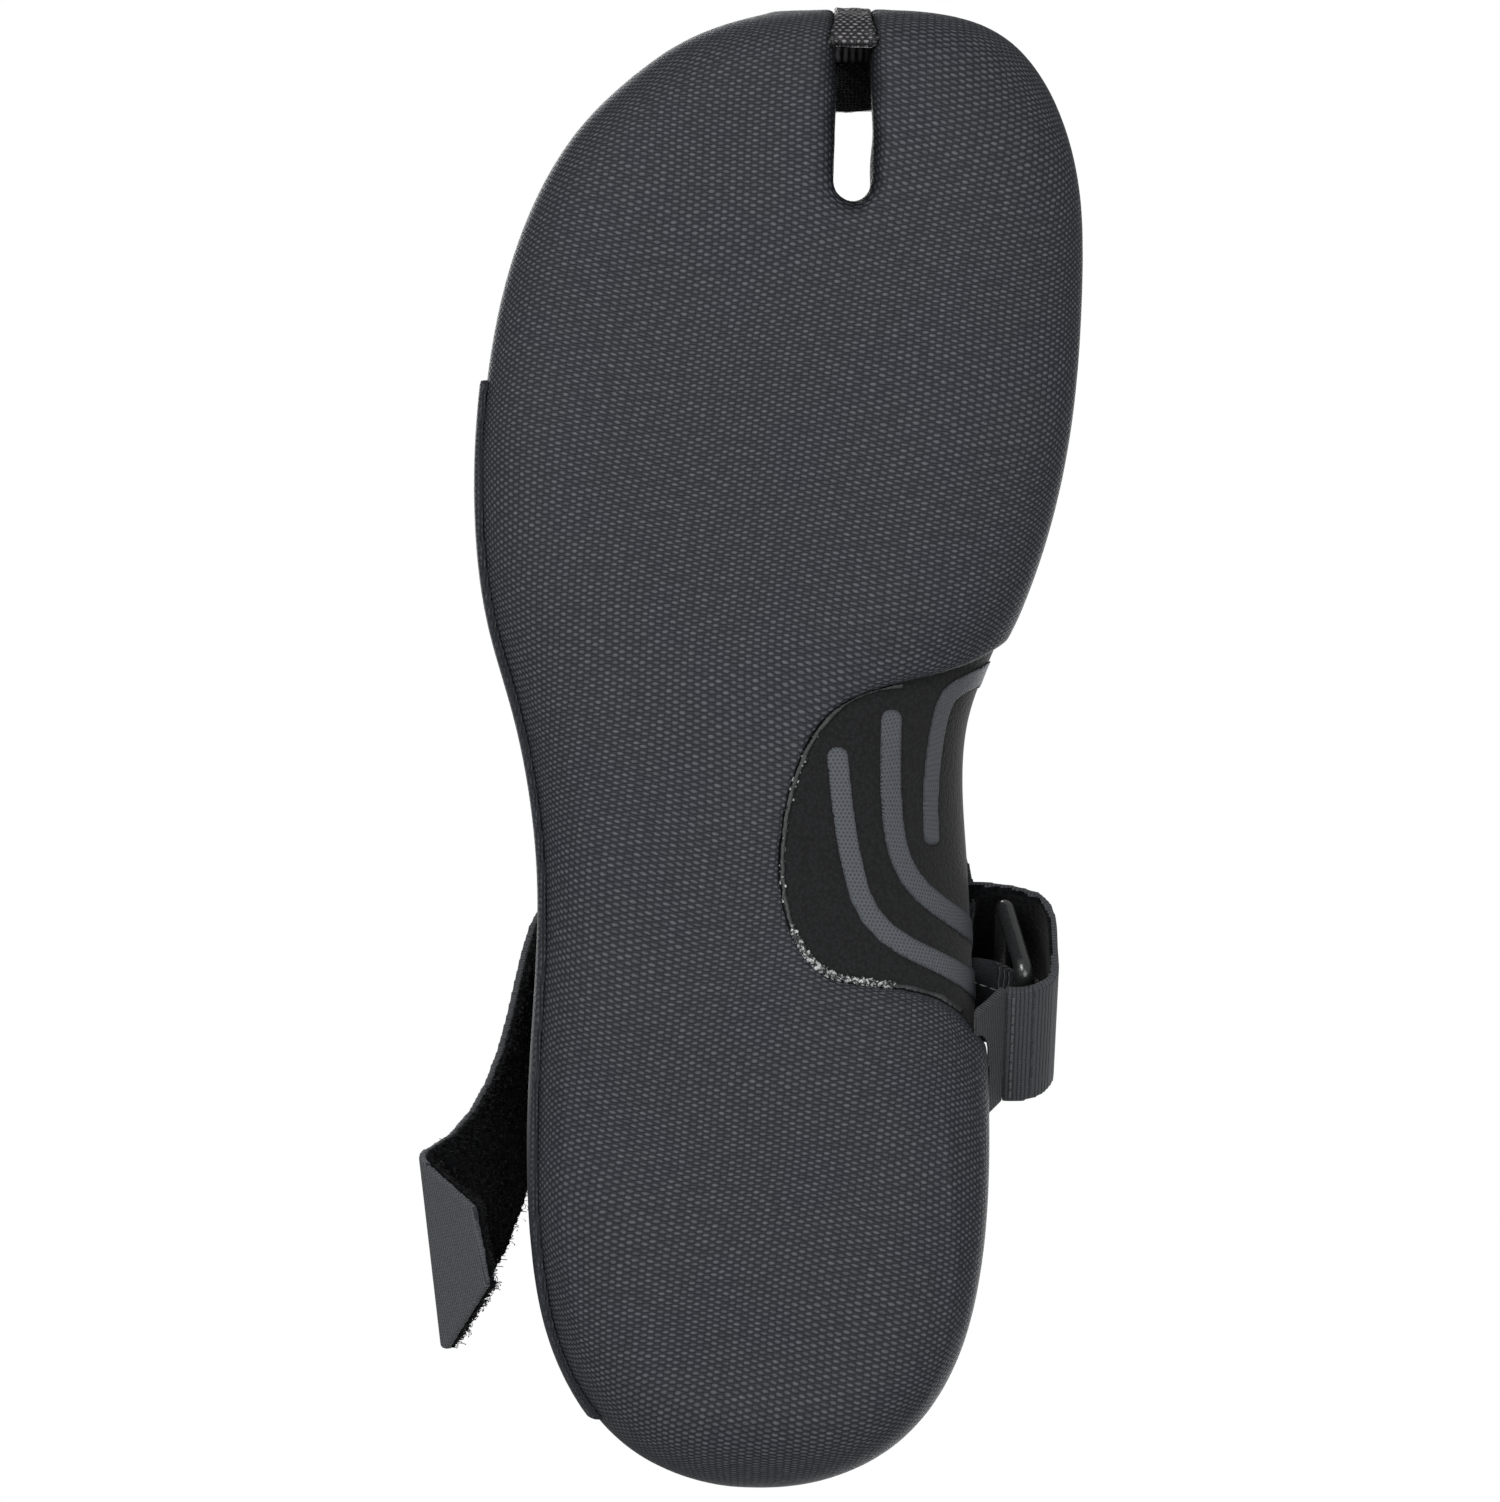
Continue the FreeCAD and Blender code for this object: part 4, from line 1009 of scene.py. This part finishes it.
def make_tail():
    """The free end of the strap: twill outside, pile inside, and its tip folded under."""
    tail_bend = ("boot", "strap_tail", metres(TAIL_ROOT[0]), metres(TAIL_ROOT[1]))
    tip_bend = ("strap_tail", "strap_tip", metres(FOLD_START), metres(FOLD_END))
    for name, node, body, look, slot, pairs in (
        ("tail_twill", "tail_webbing", tail_bend, "twill", "grey_webbing", TAIL),
        ("tail_pile", "tail_loop_pile", tail_bend, "pile", "loop_pile", TAIL),
        ("tip_twill", "tip_webbing", tip_bend, "twill", "grey_webbing", TIP),
        ("tip_pile", "tip_loop_pile", tip_bend, "pile", "loop_pile", TIP),
    ):
        piece = remeshed(name, 0.45, 2, node)
        fabric = strip_fabric(points_of(piece.data), pairs)
        if look == "pile":
            push(piece, 0.16 * waves(points_of(piece.data), 1.6, 21))
        place(piece, body, look, slot, node, fabric=fabric)
    fold = fold_layer("fold_twill", 0.0, WEBBING_T, 1.0)
    place(fold, tip_bend, "twill", "grey_webbing", fabric=strip_fabric(points_of(fold.data), TIP))
    fold = fold_layer("fold_pile", -PILE_T, 0.0, 0.6)
    place(fold, tip_bend, "pile", "loop_pile", fabric=strip_fabric(points_of(fold.data), TIP))
    nap = fibres("tail_nap", TAIL, "tail_loop_pile", 7500, 0.8)
    place(nap, tail_bend, "fibre", "loop_pile")
    nap = fibres("tip_nap", TIP, "tip_loop_pile", 2600, 0.75)
    place(nap, tip_bend, "fibre", "loop_pile")
    tree = tree_of("tail_webbing")
    toe, heel, normal = strip_frame(TAIL, 60)
    rows = []
    for share in (0.07, 0.93):
        above = toe * (1 - share) + heel * share + normal * (WEBBING_T + SEEK)
        hits = [tree.find_nearest(Vector(tuple(p * MM)))[0] for p in above]
        rows.append((np.array(hits) / MM, normal, *STITCH))
    sew("tail_thread", rows, tail_bend)


def make_strap():
    for name, node, voxel, look in (
        ("instep_webbing", "instep_strap", 0.6, "webbing"),
        ("anchor_tape", "strap_anchor_tab", 0.35, "anchor"),
        ("keeper_tape", "ring_keeper", 0.35, "keeper"),
    ):
        piece = remeshed(name, voxel, 2, node)
        fabric, inside = strap_fabric(points_of(piece.data))
        place(piece, "boot", look, "grey_webbing", node, fabric=fabric)
        if node == "instep_strap":
            line_inside(piece, inside)
    ring = remeshed("spreader_bar", 0.3, 3, "spreader_ring")
    place(ring, "ring", "plastic", "black_plastic", "spreader_ring")
    stitches = remeshed("anchor_thread", 0.15, 2, "anchor_stitching")
    place(stitches, "boot", "thread", "thread", "anchor_stitching")
    hooks = remeshed("hook_field", 0.45, 2, "hook_patch")
    place(hooks, "boot", "hook", "black_plastic", "hook_patch", fabric=points_of(hooks.data)[:, [1, 2]])


def cast(tree, origins, ways):
    """Where rays meet a surface: the points and the surface's normals there."""
    points, normals = [], []
    for at, way in zip(origins, ways):
        hit, normal = tree.ray_cast(Vector(tuple(np.array(at) * MM)), Vector(tuple(way)))[:2]
        if hit is None:
            continue
        n = np.array(normal)
        points.append(np.array(hit) / MM)
        normals.append(n if n @ np.array(way) < 0 else -n)
    return np.array(points), np.array(normals)


def cuff_stitches():
    """Two rows round the cuff's binding."""
    tree = tree_of("cuff_binding")
    rows = []
    for z in (169.2, 170.6):
        origins, ways = [], []
        for k in range(181):
            turn = 2 * math.pi * k / 180
            way = np.array([math.sin(turn), math.cos(turn), 0])
            origins.append(np.array([0, LEG_AXIS_Y, z]) + way * 100)
            ways.append(-way)
        points, normals = cast(tree, origins, ways)
        rows.append((points, normals, *CUFF_STITCH))
    sew("cuff_thread", rows, "shaft")


STITCH_JUMP = 6.0       # a longer step means that the row has left the strap's lying part, mm


def strap_stitches():
    """A row along each edge of the strap, up to where it leaves the boot."""
    tree = tree_of("instep_strap")
    rows = []
    for edge in (57.8, 83.2):
        centre = STRAP_HEART + STRAP_NORMAL * (edge - STRAP_HEART @ STRAP_NORMAL)
        origins, ways = [], []
        for k in range(80):
            turn = math.radians(-72 + 144 * k / 79)
            way = STRAP_UP * math.cos(turn) + STRAP_SIDE * math.sin(turn)
            origins.append(centre + way * 110)
            ways.append(-way)
        points, normals = cast(tree, origins, ways)
        step = np.linalg.norm(np.diff(points, axis=0), axis=1)
        stop = np.argmax(step > STITCH_JUMP) if (step > STITCH_JUMP).any() else len(step)
        if stop < len(step) / 2:
            points, normals = points[stop + 1:], normals[stop + 1:]
        else:
            points, normals = points[:stop + 1], normals[:stop + 1]
        rows.append((points, normals, *STITCH))
    sew("strap_thread", rows, "boot")


HOOK_CORNERS = [(111.0, 58.0), (94.1, 40.0), (61.4, 70.0), (78.3, 88.0), (111.0, 58.0)]     # (y, z)
HOOK_SIDE_STEPS = 12
HOOK_ROWS = 34
BESIDE_X = -120.0       # clear of the boot on its outer side


def hook_stitches():
    """A row round the hook patch."""
    tree = tree_of("hook_patch")
    origins = []
    for (y0, z0), (y1, z1) in zip(HOOK_CORNERS, HOOK_CORNERS[1:]):
        for k in range(HOOK_SIDE_STEPS):
            t = k / HOOK_SIDE_STEPS
            origins.append((BESIDE_X, y0 + (y1 - y0) * t, z0 + (z1 - z0) * t))
    origins.append(origins[0])
    points, normals = cast(tree, origins, [(1, 0, 0)] * len(origins))
    sew("hook_thread", [(points, normals, *STITCH)], "boot")


def hook_teeth():
    """The field of short stiff hooks on the patch."""
    tree = tree_of("hook_patch")
    (ya, za), (yb, zb), _, (yd, zd) = HOOK_CORNERS[:4]
    origins = []
    for i in range(HOOK_ROWS):
        for k in range(HOOK_ROWS):
            s = 0.05 + 0.9 * (i + 0.5) / HOOK_ROWS
            t = 0.05 + 0.9 * (k + 0.5 + 0.5 * (i % 2)) / (HOOK_ROWS + 0.5)
            y = ya + (yb - ya) * s + (yd - ya) * t
            z = za + (zb - za) * s + (zd - za) * t
            origins.append((BESIDE_X, y, z))
    points, normals = cast(tree, origins, [(1, 0, 0)] * len(origins))
    verts, faces = [], []
    way = np.array([0, 0.6, -0.8])
    for p, n in zip(points, normals):
        side = np.cross(n, way)
        base = len(verts)
        for at in (p - n * 0.2, p + n * 0.75, p + n * 0.95 + way * 0.4, p + n * 0.6 + way * 0.55):
            verts += [at - side * 0.12, at + side * 0.12, at + way * 0.14]
        faces += tube_faces(base, 4, 3)
    place(grow_mesh("hook_teeth", verts, faces), "boot", "plastic", "black_plastic")


make_strap()
make_tail()
cuff_stitches()
strap_stitches()
hook_stitches()
hook_teeth()

# ---- stage ----
FLOOR_FADE = (0.25, 0.75)   # distances from the middle between which the floor fades out, m
FLOOR_HALF, FLOOR_Z = 6000.0, -0.6
EYE = (-0.0019, 0, -1.07)   # the camera's place, straight beneath the sole, m
AIM = Vector((0, 0, 0.06))  # what the lamps point at
# Lamps: name, place in metres, width and power.
LAMPS = (
    ("under_key", (-0.35, -0.4, -0.95), 0.5, 7.5),
    ("under_fill", (0.4, 0.3, -0.95), 0.7, 4.0),
    ("upper_key", (-0.35, -0.45, 1.25), 0.8, 17.0),
    ("upper_fill", (0.4, 0.35, 1.2), 1.0, 10.0),
)


def floor_material():
    """Pale from above; nothing from below, so that the underside can be seen and lit."""
    s = Shade("floor")
    nodes, links = s.tree.nodes, s.tree.links
    path = nodes.new("ShaderNodeLightPath")
    side = nodes.new("ShaderNodeNewGeometry")
    front = s.math("SUBTRACT", 1.0, side.outputs["Backfacing"])
    above = s.math("MULTIPLY", front, path.outputs["Is Camera Ray"])
    distance = nodes.new("ShaderNodeVectorMath")
    distance.operation = "LENGTH"
    links.new(side.outputs["Position"], distance.inputs[0])
    fade = nodes.new("ShaderNodeMapRange")
    for key, value in zip(("From Min", "From Max", "To Min", "To Max"), (*FLOOR_FADE, 1.0, 0.0)):
        fade.inputs[key].default_value = value
    links.new(distance.outputs["Value"], fade.inputs["Value"])
    clear = nodes.new("ShaderNodeBsdfTransparent")
    pale = nodes.new("ShaderNodeBsdfDiffuse")
    pale.inputs["Color"].default_value = (0.82, 0.82, 0.82, 1)
    mix = nodes.new("ShaderNodeMixShader")
    links.new(s.math("MULTIPLY", above, fade.outputs["Result"]), mix.inputs["Fac"])
    links.new(clear.outputs[0], mix.inputs[1])
    links.new(pale.outputs[0], mix.inputs[2])
    links.new(mix.outputs[0], nodes["Material Output"].inputs["Surface"])
    return s.material


def make_stage():
    corners = [(x * FLOOR_HALF, y * FLOOR_HALF, FLOOR_Z) for x, y in ((-1, -1), (1, -1), (1, 1), (-1, 1))]
    floor = grow_mesh("floor", corners, [(0, 1, 2, 3)])
    floor.data.materials.append(floor_material())
    floor.visible_shadow = False

    world = bpy.data.worlds.new("studio")
    bpy.context.scene.world = world
    world.use_nodes = True
    tree = world.node_tree
    back = tree.nodes["Background"]
    path = tree.nodes.new("ShaderNodeLightPath")
    level = tree.nodes.new("ShaderNodeMapRange")
    level.inputs["To Min"].default_value = 0.36
    level.inputs["To Max"].default_value = 1.0
    tree.links.new(path.outputs["Is Camera Ray"], level.inputs["Value"])
    tree.links.new(level.outputs["Result"], back.inputs["Strength"])
    back.inputs["Color"].default_value = (1, 1, 1, 1)

    for name, at, width, power in LAMPS:
        lamp = bpy.data.lights.new(name, "AREA")
        lamp.size = width
        lamp.energy = power
        obj = bpy.data.objects.new(name, lamp)
        bpy.context.scene.collection.objects.link(obj)
        obj.location = at
        obj.rotation_mode = "QUATERNION"
        obj.rotation_quaternion = (AIM - Vector(at)).to_track_quat("-Z", "Y")

    camera = bpy.data.cameras.new("camera")
    camera.lens = 135
    camera.sensor_width = 36
    eye = bpy.data.objects.new("camera", camera)
    bpy.context.scene.collection.objects.link(eye)
    eye.location = EYE
    eye.rotation_euler = (math.pi, 0, 0)
    bpy.context.scene.camera = eye
    bpy.context.scene.view_settings.view_transform = "Standard"


make_stage()
